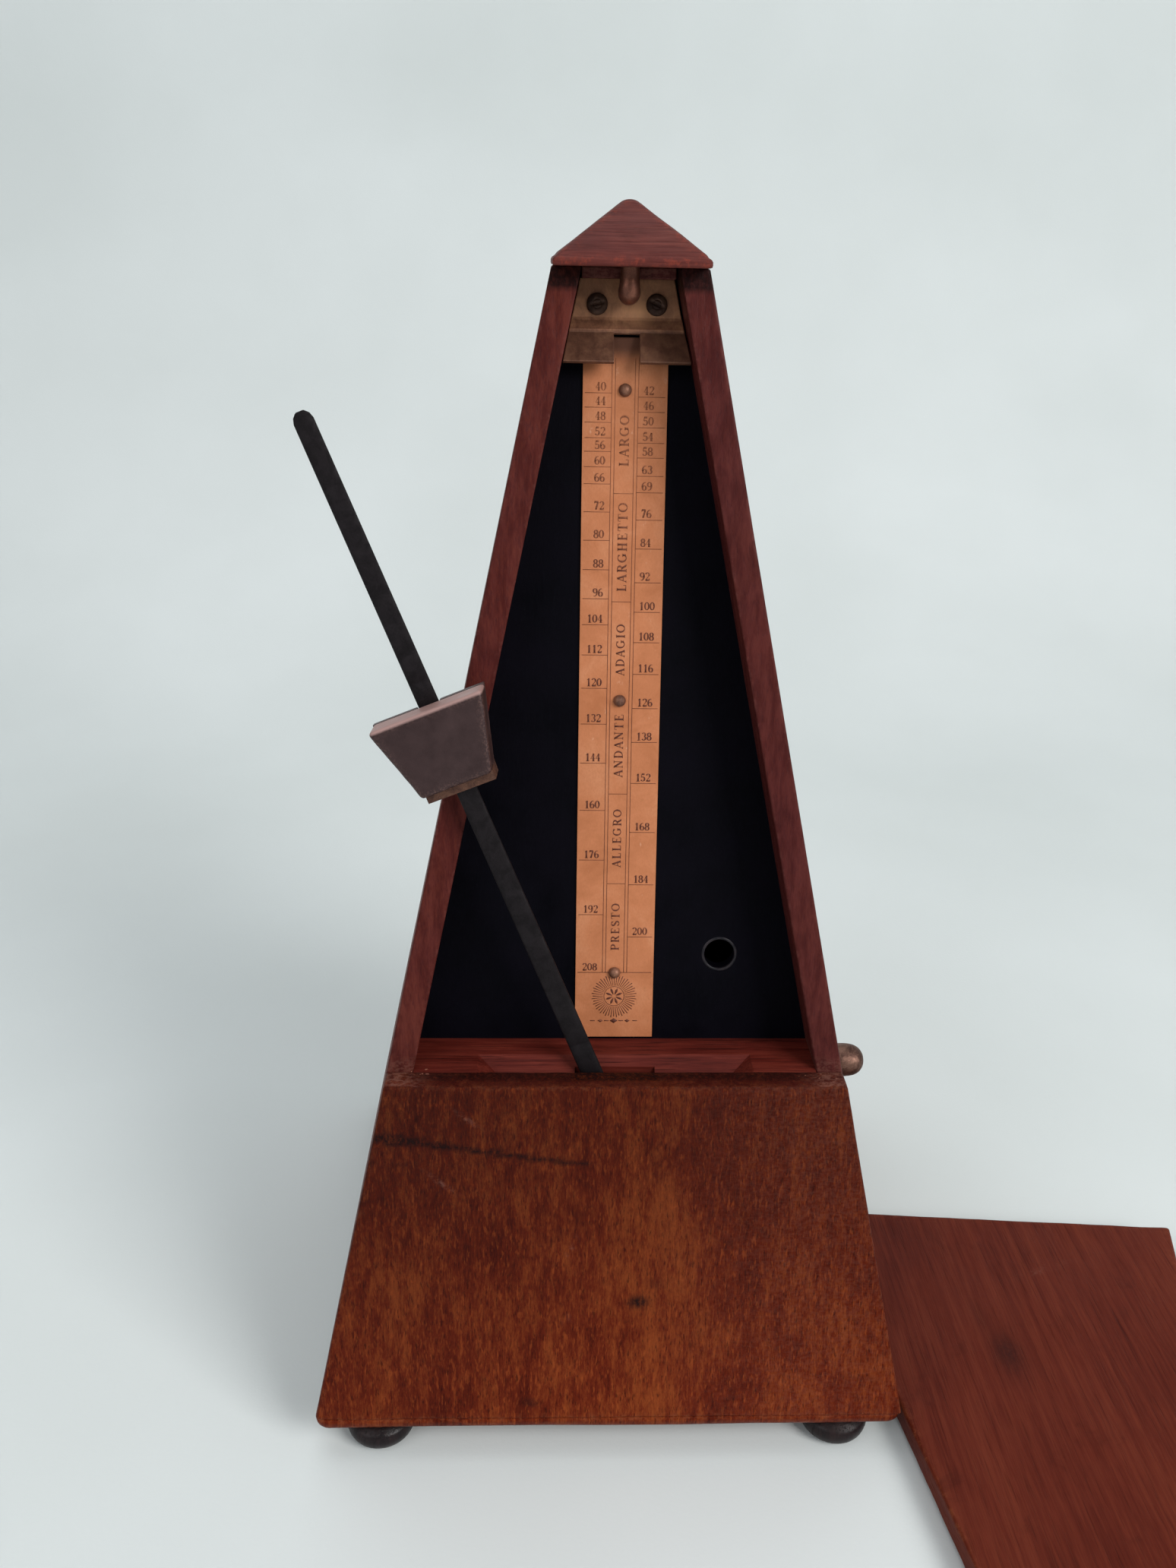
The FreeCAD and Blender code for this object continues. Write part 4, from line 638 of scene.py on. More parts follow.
def build_base_lip():
    side, bottom, thick = HALF_BASE, BASE_LOW.z, CASE_BOTTOM - BASE_LOW.z
    levels = [(side - 2.2, bottom, 1.6, 0.0)]
    for turn in (15, 35, 55, 75, 90):
        angle = math.radians(turn)
        levels.append((side - 2.2 + 2.15 * math.sin(angle), bottom + 2.1 * (1 - math.cos(angle)), 2.2,
                       0.9 if turn == 75 else 0.4))
    levels += [(side, bottom + thick - 0.55, 2.2, 0.6), (side - 0.12, bottom + thick - 0.22, 2.1, 1.0),
               (side - 0.5, CASE_BOTTOM - 0.02, 1.8, 1.0), (side - 1.2, CASE_BOTTOM, 1.2, 0.0)]
    inner_low, inner_high = side - WALL - 0.1, half(BASE_HIGH.z) - WALL - 0.1
    levels += [(inner_low, CASE_BOTTOM, 0.6, 0.0), (inner_high, BASE_HIGH.z, 0.6, 0.0)]
    square_turned("base_moulding", levels, "case_wood", ("base_board",), wave=0.3)


def build_feet():
    for name in ("front_left", "front_right", "rear_left", "rear_right"):
        low, high = box_mm("foot_" + name)
        centre = Vector(((low.x + high.x) / 2, (low.y + high.y) / 2, 0))
        radius = (high.x - low.x) / 2
        height = high.z
        shape = ((0.60, 0.0), (0.74, 0.04), (0.92, 0.2), (0.995, 0.44), (0.95, 0.66), (0.80, 0.80),
                 (0.70, 0.86), (0.72, 0.93), (0.74, 1.0))
        profile = smooth_profile([(radius * out, height * up) for out, up in shape])
        profile = [(2.3, 0.9), (2.3, 0.05), (2.5, 0.0)] + profile
        lathe("bun_foot_" + name, profile, centre, (0, 0, 1), "foot_wood", stands_for=("foot_" + name,),
              sides=64)


def build_door():
    """The loose cover, lying face up; its outline is read from the CAD piece."""
    low, high = box_mm("door")
    flat = [vertex.co / MM for vertex in frame["nodes"]["door"].data.vertices]
    top = [point for point in flat if point.z > high.z - 0.01]
    ends = [min(top, key=lambda p: p.x), max(top, key=lambda p: p.x),
            min(top, key=lambda p: p.y + 0.3 * p.x), min(top, key=lambda p: p.y - 0.3 * p.x)]
    far_left, far_right, near_left, near_right = ends
    corners = []
    for z in (low.z, high.z):
        corners += [(p.x, p.y, z) for p in (near_left, near_right, far_left, far_right)]
    middle = (far_left + far_right + near_left + near_right) / 4

    def marks(spot):
        away = spot - middle
        dark = 0.7 * bump_at(away.x, -4.0, 3.0) * bump_at(away.y, 31.0, 5.5)
        dark = max(dark, 0.35 * bump_at(away.x, -6.5, 1.4) * bump_at(away.y, 40.0, 6.0))
        light = 0.35 * bump_at(spot.y, far_left.y - 24 + 0.35 * away.x, 0.4) * bump_at(away.x, 12.0, 5.0)
        return dark, light, 0.0

    plank("front_cover", corners, 0.7, 1.6, "door_wood", "door", ("door",), marks=marks)


# ---------------------------------------------------------------- scale card

THIN, THICK = 0.07, 0.20
CAPITALS = {
    "A": (0.92, [("t", (0.12, 0), (0.46, 1)), ("k", (0.46, 1), (0.80, 0)), ("t", (0.24, 0.33), (0.66, 0.33)),
                 ("t", (0.02, 0), (0.26, 0)), ("t", (0.62, 0), (0.94, 0))]),
    "D": (0.95, [("k", (0.22, 0), (0.22, 1)), ("t", (0.06, 1), (0.42, 1)), ("t", (0.06, 0), (0.42, 0)),
                 ("o", 0.40, 0.5, 0.44, 0.48, 90, -90)]),
    "E": (0.82, [("k", (0.22, 0), (0.22, 1)), ("t", (0.06, 1), (0.70, 1), (0.70, 0.78)),
                 ("t", (0.06, 0), (0.74, 0), (0.74, 0.24)), ("t", (0.22, 0.52), (0.52, 0.52)),
                 ("t", (0.52, 0.40), (0.52, 0.64))]),
    "G": (1.0, [("o", 0.48, 0.5, 0.40, 0.48, 42, 318), ("k", (0.80, 0.08), (0.80, 0.42)),
                ("t", (0.62, 0.42), (0.96, 0.42)), ("t", (0.78, 0.98), (0.78, 0.74))]),
    "H": (1.02, [("k", (0.24, 0), (0.24, 1)), ("k", (0.78, 0), (0.78, 1)), ("t", (0.24, 0.5), (0.78, 0.5)),
                 ("t", (0.06, 0), (0.42, 0)), ("t", (0.06, 1), (0.42, 1)), ("t", (0.60, 0), (0.96, 0)),
                 ("t", (0.60, 1), (0.96, 1))]),
    "I": (0.50, [("k", (0.25, 0), (0.25, 1)), ("t", (0.07, 0), (0.43, 0)), ("t", (0.07, 1), (0.43, 1))]),
    "L": (0.80, [("k", (0.24, 0), (0.24, 1)), ("t", (0.06, 1), (0.42, 1)),
                 ("t", (0.06, 0), (0.72, 0), (0.72, 0.28))]),
    "N": (1.0, [("t", (0.18, 0), (0.18, 1)), ("k", (0.18, 0.97), (0.80, 0.03)), ("t", (0.80, 0), (0.80, 1)),
                ("t", (0.04, 0), (0.34, 0)), ("t", (0.04, 1), (0.22, 1)), ("t", (0.64, 1), (0.96, 1))]),
    "O": (1.0, [("o", 0.5, 0.5, 0.41, 0.48, 0, 360)]),
    "P": (0.84, [("k", (0.24, 0), (0.24, 1)), ("t", (0.06, 1), (0.46, 1)), ("t", (0.24, 0.47), (0.46, 0.47)),
                 ("o", 0.44, 0.735, 0.30, 0.25, 90, -90), ("t", (0.06, 0), (0.42, 0))]),
    "R": (0.96, [("k", (0.24, 0), (0.24, 1)), ("t", (0.06, 1), (0.46, 1)), ("t", (0.24, 0.49), (0.50, 0.49)),
                 ("o", 0.44, 0.745, 0.28, 0.24, 90, -90), ("t", (0.06, 0), (0.42, 0)),
                 ("k", (0.52, 0.48), (0.78, 0.04)), ("t", (0.74, 0.02), (0.94, 0.02))]),
    "S": (0.74, [("o", 0.36, 0.745, 0.24, 0.235, 30, 255), ("k", (0.26, 0.58), (0.48, 0.42)),
                 ("o", 0.37, 0.255, 0.26, 0.24, 75, -150), ("t", (0.60, 0.95), (0.60, 0.74)),
                 ("t", (0.12, 0.05), (0.12, 0.27))]),
    "T": (0.86, [("k", (0.43, 0), (0.43, 1)), ("t", (0.05, 0.76), (0.05, 1), (0.81, 1), (0.81, 0.76)),
                 ("t", (0.25, 0), (0.61, 0))]),
}
FIGURES = {
    "0": [("o", 0.33, 0.5, 0.24, 0.47, 0, 360)],
    "1": [("k", (0.35, 0), (0.35, 1)), ("t", (0.16, 0.80), (0.35, 0.98)), ("t", (0.15, 0), (0.55, 0))],
    "2": [("o", 0.32, 0.74, 0.22, 0.24, 165, -35), ("t", (0.50, 0.60), (0.10, 0.06)),
          ("k", (0.08, 0.06), (0.56, 0.06)), ("t", (0.56, 0.06), (0.56, 0.25))],
    "3": [("o", 0.31, 0.75, 0.20, 0.23, 150, -80), ("o", 0.31, 0.27, 0.23, 0.25, 80, -155)],
    "4": [("t", (0.42, 0.98), (0.06, 0.30), (0.60, 0.30)), ("k", (0.42, 0), (0.42, 0.98)),
          ("t", (0.28, 0), (0.58, 0))],
    "5": [("k", (0.16, 0.95), (0.52, 0.95)), ("t", (0.15, 0.95), (0.13, 0.52)),
          ("o", 0.30, 0.31, 0.24, 0.28, 130, -155)],
    "6": [("o", 0.34, 0.29, 0.22, 0.27, 0, 360), ("o", 0.42, 0.45, 0.32, 0.52, 75, 190)],
    "7": [("t", (0.10, 0.76), (0.10, 0.96)), ("k", (0.10, 0.95), (0.57, 0.95)),
          ("k", (0.53, 0.90), (0.26, 0))],
    "8": [("o", 0.33, 0.745, 0.19, 0.225, 0, 360), ("o", 0.33, 0.26, 0.23, 0.25, 0, 360)],
    "9": [("o", 0.32, 0.71, 0.22, 0.27, 0, 360), ("o", 0.24, 0.55, 0.32, 0.52, 10, -105)],
}


def stroke_points(stroke):
    """(points, widths) of one pen stroke: upright parts thick and level parts thin on curves."""
    kind = stroke[0]
    if kind != "o":
        return [Vector(p) for p in stroke[1:]], [THIN if kind == "t" else THICK] * (len(stroke) - 1)
    _, x, y, rx, ry, start, end = stroke
    count = max(6, abs(end - start) // 15)
    points, widths = [], []
    for index in range(count + 1):
        angle = math.radians(start + (end - start) * index / count)
        points.append(Vector((x + rx * math.cos(angle), y + ry * math.sin(angle))))
        widths.append(THIN + (THICK - THIN) * abs(math.cos(angle)) ** 1.4)
    return points, widths


class Print:
    """Thin inked ribbons that lie on a sloping face."""

    def __init__(self, origin, right, up, lift, thick):
        self.origin, self.right, self.up = Vector(origin), Vector(right), Vector(up)
        self.out = self.right.cross(self.up).normalized()
        self.lift, self.thick = lift, thick
        self.points, self.faces = [], []

    def ribbon(self, line, widths):
        line = [Vector(p) for p in line]
        closed = (line[0] - line[-1]).length < 1e-6
        start = len(self.points)
        for index, spot in enumerate(line):
            before = line[-2] if closed and index == 0 else line[max(index - 1, 0)]
            after = line[1] if closed and index == len(line) - 1 else line[min(index + 1, len(line) - 1)]
            along = (after - before).normalized()
            side = Vector((-along.y, along.x)) * widths[index] / 2
            for offset, level in ((side, 0), (-side, 0), (-side, 1), (side, 1)):
                flat = spot + offset
                self.points.append(self.origin + self.right * flat.x + self.up * flat.y
                                   + self.out * (self.lift + self.thick * level))
        for row in range(len(line) - 1):
            a, b = start + row * 4, start + row * 4 + 4
            for index in range(4):
                after = (index + 1) % 4
                self.faces.append([a + index, b + index, b + after, a + after])
        self.faces.append([start, start + 1, start + 2, start + 3])
        end = start + (len(line) - 1) * 4
        self.faces.append([end + 3, end + 2, end + 1, end])

    def text(self, words, glyph_of, x, y, height, gap, turn=0.0):
        """Set words from (x, y), reading along the turned direction."""
        cosine, sine = math.cos(turn), math.sin(turn)
        pen = 0.0
        for letter in words:
            width, strokes = glyph_of(letter)
            for stroke in strokes:
                line, widths = stroke_points(stroke)
                placed = [Vector((x + (pen + p.x) * height * cosine - p.y * height * sine,
                                  y + (pen + p.x) * height * sine + p.y * height * cosine)) for p in line]
                self.ribbon(placed, [w * height for w in widths])
            pen += width + gap

    def rule(self, start, end, wide=0.10):
        start, end = Vector(start), Vector(end)
        count = max(1, round((end - start).length / 4))
        self.ribbon([start.lerp(end, index / count) for index in range(count + 1)], [wide] * (count + 1))


def text_width(words, glyph_of, gap):
    return sum(glyph_of(letter)[0] for letter in words) + gap * (len(words) - 1)


LEFT_COLUMN = {
    40: 194.8, 44: 192.4, 48: 189.9, 52: 187.3, 56: 185.0, 60: 182.4, 66: 179.5, 72: 174.7, 80: 169.8,
    88: 164.7, 96: 159.6, 104: 155.0, 112: 149.6, 120: 143.6, 132: 137.1, 144: 129.9, 160: 121.1,
    176: 111.7, 192: 101.2, 208: 89.9,
}
RIGHT_COLUMN = {
    42: 194.2, 46: 191.7, 50: 189.1, 54: 186.5, 58: 184.0, 63: 180.9, 69: 178.1, 76: 173.4, 84: 168.4,
    92: 162.5, 100: 157.3, 108: 151.9, 116: 146.2, 126: 140.0, 138: 133.8, 152: 126.2, 168: 117.0,
    184: 107.0, 200: 96.9,
}
TEMPO_WORDS = (("PRESTO", 98.8, 1.50), ("ALLEGRO", 115.8, 1.50), ("ANDANTE", 133.1, 1.55),
               ("ADAGIO", 150.5, 1.50), ("LARGHETTO", 168.6, 1.60), ("LARGO", 186.8, 1.60))
DIVIDERS = (177.9, 159.1, 124.2, 107.2)
INNER_RULE, OUTER_RULE, CARD_EDGE = 1.75, 2.35, 7.1


def build_print():
    low, high = box_mm("scale_card")
    per_z = 1 / FACE_UP.z
    face = Print((0, low.y, low.z), (1, 0, 0), FACE_UP, 0.02, 0.02)

    def at(z):
        return (z - low.z) * per_z

    def figure(letter):
        return 0.66, FIGURES[letter]

    bottom, top = at(LEFT_COLUMN[208]), at(high.z - 3.4)
    for x in (INNER_RULE, OUTER_RULE):
        for side in (-1, 1):
            face.rule((side * x, bottom), (side * x, top), 0.09)
    face.rule((-CARD_EDGE, bottom), (CARD_EDGE, bottom), 0.11)
    for z in DIVIDERS:
        face.rule((-INNER_RULE, at(z)), (INNER_RULE, at(z)), 0.08)
    for column, side in ((LEFT_COLUMN, -1), (RIGHT_COLUMN, 1)):
        for tempo, z in column.items():
            face.rule((side * OUTER_RULE, at(z)), (side * CARD_EDGE, at(z)), 0.09)
            words = str(tempo)
            width = text_width(words, figure, 0.02) * 1.42
            x = -3.35 - width if side < 0 else 3.25
            face.text(words, figure, x, at(z) + 0.42, 1.42, 0.02)
    for words, z, size in TEMPO_WORDS:
        gap = 0.20
        length = text_width(words, CAPITALS.get, gap) * size
        face.text(words, CAPITALS.get, size / 2 - 0.02, at(z) - length / 2, size, gap, math.pi / 2)
    build_ornament(face, at(85.2), at(80.3))
    piece("card_print", face.points, face.faces, "card_paper", material=ink())


def build_ornament(face, sun_y, row_y):
    """A plain sunburst round an eight-petalled flower, over a row of lozenges."""
    rays, petals = 48, 8
    middle = Vector((0, sun_y))
    for index in range(rays):
        angle = 2 * math.pi * index / rays
        toward = Vector((math.cos(angle), math.sin(angle)))
        face.ribbon([middle + toward * 2.15, middle + toward * (4.1 + 0.25 * (index % 2))], [0.07, 0.16])
    for index in range(petals):
        angle = 2 * math.pi * (index + 0.5) / petals
        toward = Vector((math.cos(angle), math.sin(angle)))
        face.ribbon([middle + toward * reach for reach in (0.35, 0.85, 1.25, 1.7)], [0.08, 0.34, 0.44, 0.05])
    ring = [middle + 1.95 * Vector((math.cos(a), math.sin(a)))
            for a in [2 * math.pi * i / 32 for i in range(33)]]
    face.ribbon(ring, [0.10] * 33)
    for x, size in ((-2.6, 0.5), (0.0, 0.75), (2.6, 0.5)):
        face.ribbon([Vector((x + out, row_y)) for out in (-size, 0, size)], [0.02, 1.3 * size, 0.02])
    for x in (-4.1, -1.4, 1.4, 4.1):
        face.rule((x - 0.45, row_y), (x + 0.45, row_y), 0.16)


# ---------------------------------------------------------------- bracket, latch, knob

def rubbed_brass():
    """Brown brass, with a painted highlight on the plate and its lower lip painted darker."""
    made = Finish("rubbed_brass", Metallic=0.45)
    patches = made.noise(made.coords(), 0.35, 5, 0.65, 0.7)
    fine = made.noise(made.coords((1, 1, 0.3)), 2.4, 4, 0.7)
    colour = made.ramp(patches, (0.34, (0.200, 0.086, 0.052)), (0.52, (0.340, 0.150, 0.082)),
                       (0.70, (0.450, 0.215, 0.108)))
    colour = made.mix(made.span(fine, 0.40, 0.70, 0, 0.35), colour, (0.075, 0.034, 0.023))
    # Painted highlight where the plate is marked for it.
    colour = made.mix(made.math("MULTIPLY", made.painted("rubbed_and_highlight"), 0.85), colour, (0.78, 0.40, 0.200))
    # The lower lip painted darker.
    colour = made.mix(made.painted("darker_lip"), colour, (0.075, 0.032, 0.021))
    return made.done(Base_Color=colour, Roughness=made.span(patches, 0.3, 0.7, 0.34, 0.50),
                     Normal=made.bump(fine, 0.02))


def build_bracket():
    """Folded brass plate whose lip stands forward, with a notch for the rod."""
    low, high = box_mm("top_bracket")
    rise = (HALF_BASE - HALF_TOP) / (CASE_TOP - CASE_BOTTOM)
    sheet = 0.8
    crease_z = 206.0
    back_at_crease = high.y - (high.z - crease_z) * rise
    path = [(back_at_crease + (z - crease_z) * rise, z) for z in (high.z, 211.5, 209.5, 208.0)]
    path += [(back_at_crease + 0.20, 207.0), (back_at_crease - 0.10, 206.35), (back_at_crease - 0.62, 205.7),
             (back_at_crease - 1.15, 205.0)]
    notch_top = 204.4
    tip_y = low.y + sheet
    for part in (0.0, 0.25, 0.5, 0.75, 1.0):
        path.append((back_at_crease - 1.35 + (tip_y - back_at_crease + 1.35) * part,
                     notch_top + (low.z - notch_top) * part))
    notch = 2.25
    beside = 0.42
    columns = [-1.0, -0.72, -beside, "a", 0.0, "b", beside, 0.72, 1.0]
    points, faces = [], []
    for y, z in path:
        reach = half(z) - WALL - 0.4
        for column in columns:
            x = {"a": -notch, "b": notch}.get(column)
            if x is None and abs(column) == beside:
                x = math.copysign(notch + 0.28 * (reach - notch), column)
            elif x is None:
                x = column * reach
            points.append(Vector((x, y, z)))
    wide = len(columns)
    first_notch_row = next(i for i, (y, z) in enumerate(path) if z <= notch_top + 1e-6)
    for row in range(len(path) - 1):
        for column in range(wide - 1):
            if row >= first_notch_row and columns[column] in ("a", 0.0):
                continue
            a = row * wide + column
            faces.append([a, a + wide, a + wide + 1, a + 1])
    used = sorted({index for face in faces for index in face})
    renumber = {old: new for new, old in enumerate(used)}
    # Paint: a painted highlight on the plate right of the middle, the plate above the fold a little brighter, and
    # the lip below the notch top darker.
    made = piece("rod_bracket", [points[i] for i in used], [[renumber[i] for i in f] for f in faces],
                 "aged_brass", stands_for=("top_bracket",), material=rubbed_brass(),
                 paint={"rubbed_and_highlight": [max(bump_at(points[i].x, 2.0, 3.0) * bump_at(points[i].z, 208.2, 2.2),
                                       0.22 if points[i].z > 206.5 else 0.0) for i in used],
                        "darker_lip": [0.66 if points[i].z < 204.6 else 0.0 for i in used]})
    made.data.polygons.foreach_set("use_smooth", [False] * len(made.data.polygons))
    thick = made.modifiers.new("sheet", "SOLIDIFY")
    thick.thickness = sheet * MM
    thick.offset = 1.0
    thick.use_even_offset = True
    soften = made.modifiers.new("soft_edges", "BEVEL")
    soften.width = 0.16 * MM
    soften.segments = 2
    soften.limit_method = "ANGLE"
    soften.angle_limit = math.radians(50)


def tube(name, path, radii, slot, body, stands_for=(), sides=24, material=None):
    """A round bar along a path, with its radius given point by point."""
    loops = []
    across = Vector((1, 0, 0))
    for index, spot in enumerate(path):
        along = (path[min(index + 1, len(path) - 1)] - path[max(index - 1, 0)]).normalized()
        side = (across - along * across.dot(along)).normalized()
        other = along.cross(side)
        loops.append([spot + (side * math.cos(a) + other * math.sin(a)) * max(radii[index], 0.02)
                      for a in round_angles(sides)])
    return rings(name, loops, slot, body, stands_for, material, paint={"edge": [0.0] * (sides * len(path))})


def build_bracket_screws():
    """Two round screw heads, each with a turned ring and a slot across it."""
    low, high = box_mm("bracket_screws")
    up, out = FACE_UP, FACE_OUT
    radius = 1.85
    profile = smooth_profile([(0.0, 0.52), (0.55, 0.50), (0.78, 0.40), (0.98, 0.48), (1.40, 0.40),
                              (1.72, 0.22), (radius, 0.0), (radius, -0.35)], 3)
    count = 40
    points, faces = [], []
    for side in (-1, 1):
        middle = Vector((side * (high.x - radius), low.y + 0.42, (low.z + high.z) / 2))
        turn = math.radians(12 if side < 0 else -24)
        first = len(points)
        for ring, along in profile:
            for index in range(count):
                angle = 2 * math.pi * index / count
                flat = Vector((math.cos(angle), math.sin(angle))) * max(ring, 0.02)
                across = flat.x * math.sin(turn) - flat.y * math.cos(turn)
                cut = 0.16 * clamp((0.36 - abs(across)) / 0.16) if ring < 1.3 else 0.0
                points.append(middle + Vector((1, 0, 0)) * flat.x + up * flat.y + out * (along - cut))
        for row in range(len(profile) - 1):
            for index in range(count):
                after = (index + 1) % count
                faces.append([first + row * count + after, first + row * count + index,
                              first + (row + 1) * count + index, first + (row + 1) * count + after])
        faces.append([first + index for index in range(count)])
        last = first + (len(profile) - 1) * count
        faces.append([last + index for index in reversed(range(count))])
    piece("bracket_screw_heads", points, faces, "blued_steel", stands_for=("bracket_screws",))


def build_latch():
    low, high = box_mm("door_latch")
    stem_y = low.y + 2.1
    path = curve_through([(0, stem_y, CASE_TOP + 0.2), (0, stem_y, CASE_TOP - 1.6),
                          (0, stem_y - 0.05, low.z + 2.2), (0, stem_y + 0.6, low.z + 1.3),
                          (0, stem_y + 2.0, low.z + 1.15),
                          (0, high.y - 0.5, low.z + 1.15), (0, high.y - 0.1, low.z + 1.15)], 6)
    count = len(path)
    radii = []
    for index in range(count):
        part = index / (count - 1)
        radius = 1.60 + 0.35 * math.exp(-((part - 0.42) / 0.16) ** 2) - 0.45 * max(0.0, part - 0.5)
        if index >= count - 6:
            radius *= math.sqrt(max(0.0, 1 - ((index - (count - 6)) / 5.0) ** 2) + 0.02)
        radii.append(radius)
    finish = metal("latch_brass", (0.260, 0.100, 0.062), (0.140, 0.054, 0.036), 0.3, 0.26,
                   metallic=0.7, sheen=0.4)
    tube("latch_hook", path, radii, "aged_brass", "latch", ("door_latch",), material=finish)


def build_knob():
    low, high = box_mm("selector_knob")
    centre = Vector((0, (low.y + high.y) / 2, (low.z + high.z) / 2))
    radius, start, end = (high.y - low.y) / 2, low.x, high.x
    shape = ((0.62, 0.0), (0.60, 0.5), (0.70, 0.8), (0.93, 1.15), (0.99, 1.9), (1.0, 2.9), (0.985, 4.0),
             (0.92, 5.2), (0.76, 6.3), (0.50, 7.05), (0.22, 7.33))
    points = [(radius * out, along) for out, along in shape] + [(0.0, end - start)]
    profile = [(r, start + along) for r, along in smooth_profile(points, 4)]
    lathe("selector_knob_turned", profile, centre, (1, 0, 0), "aged_brass", "selector", ("selector_knob",),
          material=metal("knob_brass", (0.30, 0.165, 0.120), (0.085, 0.040, 0.030), 0.5, 0.36,
                         depth=0.03, metallic=0.8))


# ---------------------------------------------------------------- pendulum

PIVOT = Vector(JOINTS["pendulum_swing"]["pos_m"]) / MM
ROD_WAY = Vector(JOINTS["weight_slide"]["axis"]).normalized()
TILT = math.atan2(-ROD_WAY.x, ROD_WAY.z)
ROD_OUT = Vector((math.cos(TILT), 0, math.sin(TILT)))
TILTED_UP = Vector((-math.sin(TILT), 0, math.cos(TILT)))
ROD_CRANK, ROD_TAIL, ROD_LENGTH = 10.0, 34.0, 140.0


def rod_section(spot, along, wide, thick, groove):
    """A flat bar's rounded section; groove presses its front face in."""
    back = ROD_OUT.cross(along) * -1
    if back.y < 0:
        back = -back
    shape = [(-1, -0.55), (-0.86, -1), (-0.4, -1), (0.4, -1), (0.86, -1), (1, -0.55),
             (1, 0.55), (0.86, 1), (0.4, 1), (-0.4, 1), (-0.86, 1), (-1, 0.55)]
    loop = []
    for x, y in shape:
        depth = y * thick / 2
        if y < -0.9:
            depth += groove
        loop.append(spot + ROD_OUT * x * wide / 2 + back * depth)
    return loop


def build_rod():
    crank, tail, length = ROD_CRANK, ROD_TAIL, ROD_LENGTH
    thick = 0.9
    bend = PIVOT + TILTED_UP * crank
    loops = []
    for step in range(12):
        height = -tail + (tail + crank - 1.2) * step / 11
        loops.append(rod_section(PIVOT + TILTED_UP * height, TILTED_UP, 4.0, thick, 0))
    bottom, top = LEFT_COLUMN[208], LEFT_COLUMN[40]
    spots = [(0.9, 0.0)]
    upper = length - crank
    for z in sorted(LEFT_COLUMN.values()):
        middle = 8.0 + (z - bottom) / (top - bottom) * (upper - 18.0)
        spots += [(middle - 0.55, 0.0), (middle - 0.18, 0.16), (middle + 0.18, 0.16), (middle + 0.55, 0.0)]
    spots += [(upper - 1.6, 0.0), (upper - 0.7, 0.0), (upper - 0.15, 0.0), (upper, 0.0)]
    for along, groove in spots:
        wide = 4.0 - 0.6 * along / upper
        if along > upper - 1.5:
            wide *= 1 - 0.62 * ((along - upper + 1.5) / 1.5) ** 2
        loops.append(rod_section(bend + ROD_WAY * along, ROD_WAY, wide, thick, groove))
    rings("rod_blade", loops, "rod_steel", "pendulum", ("pendulum_rod",),
          paint={"edge": [0.0] * (12 * len(loops))})


def weight_centre():
    """Middle of the sliding weight, on the rod's line, found from the CAD piece."""
    corners = [vertex.co / MM for vertex in frame["nodes"]["sliding_weight"].data.vertices]
    along = [(corner - PIVOT).dot(ROD_WAY) for corner in corners]
    start = PIVOT + TILTED_UP * ROD_CRANK
    middle = (min(along) + max(along)) / 2 - (start - PIVOT).dot(ROD_WAY)
    return start + ROD_WAY * middle


def build_weight():
    centre = weight_centre()
    back = ROD_OUT.cross(ROD_WAY)
    if back.y < 0:
        back = -back
    tall, top, low, thick, rod_half = 14.0, 10.5, 6.5, 6.0, 0.45

    def local(x, y, z):
        return centre + ROD_OUT * x + back * y + ROD_WAY * z

    def wedge(x_low, x_high, front, rear, top_x_low, top_x_high):
        corners = []
        for z, (x0, x1) in ((-tall / 2, (x_low, x_high)), (tall / 2, (top_x_low, top_x_high))):
            corners += [local(x0, front, z), local(x1, front, z), local(x0, rear, z), local(x1, rear, z)]
        return corners

    channel = 2.06
    front, joint, rear = -thick - rod_half, -rod_half - 0.06, rod_half + 0.06

    # Painted highlight: the top face of the weight is marked to be painted paler.
    def marks(spot):
        up = (spot - centre).dot(ROD_WAY) - tall / 2 + 0.7
        return 0.0, 0.85 * clamp(up / 0.4), 0.0

    block = plank_mesh(wedge(-low, low, front, joint, -top, top), 0.75, 0.7, wave=0.03, marks=marks)
    left = plank_mesh(wedge(-low + 0.1, -channel, joint - 0.5, rear, -top + 0.1, -channel),
                      0.2, 1.5, wave=0.0)
    right = plank_mesh(wedge(channel, low - 0.1, joint - 0.5, rear, channel, top - 0.1),
                       0.2, 1.5, wave=0.0)
    points, faces, paint = join_meshes(block, left, right)
    piece("tempo_weight", points, faces, "weight_paint", "weight", ("sliding_weight",), paint=paint)


# ---------------------------------------------------------------- small things

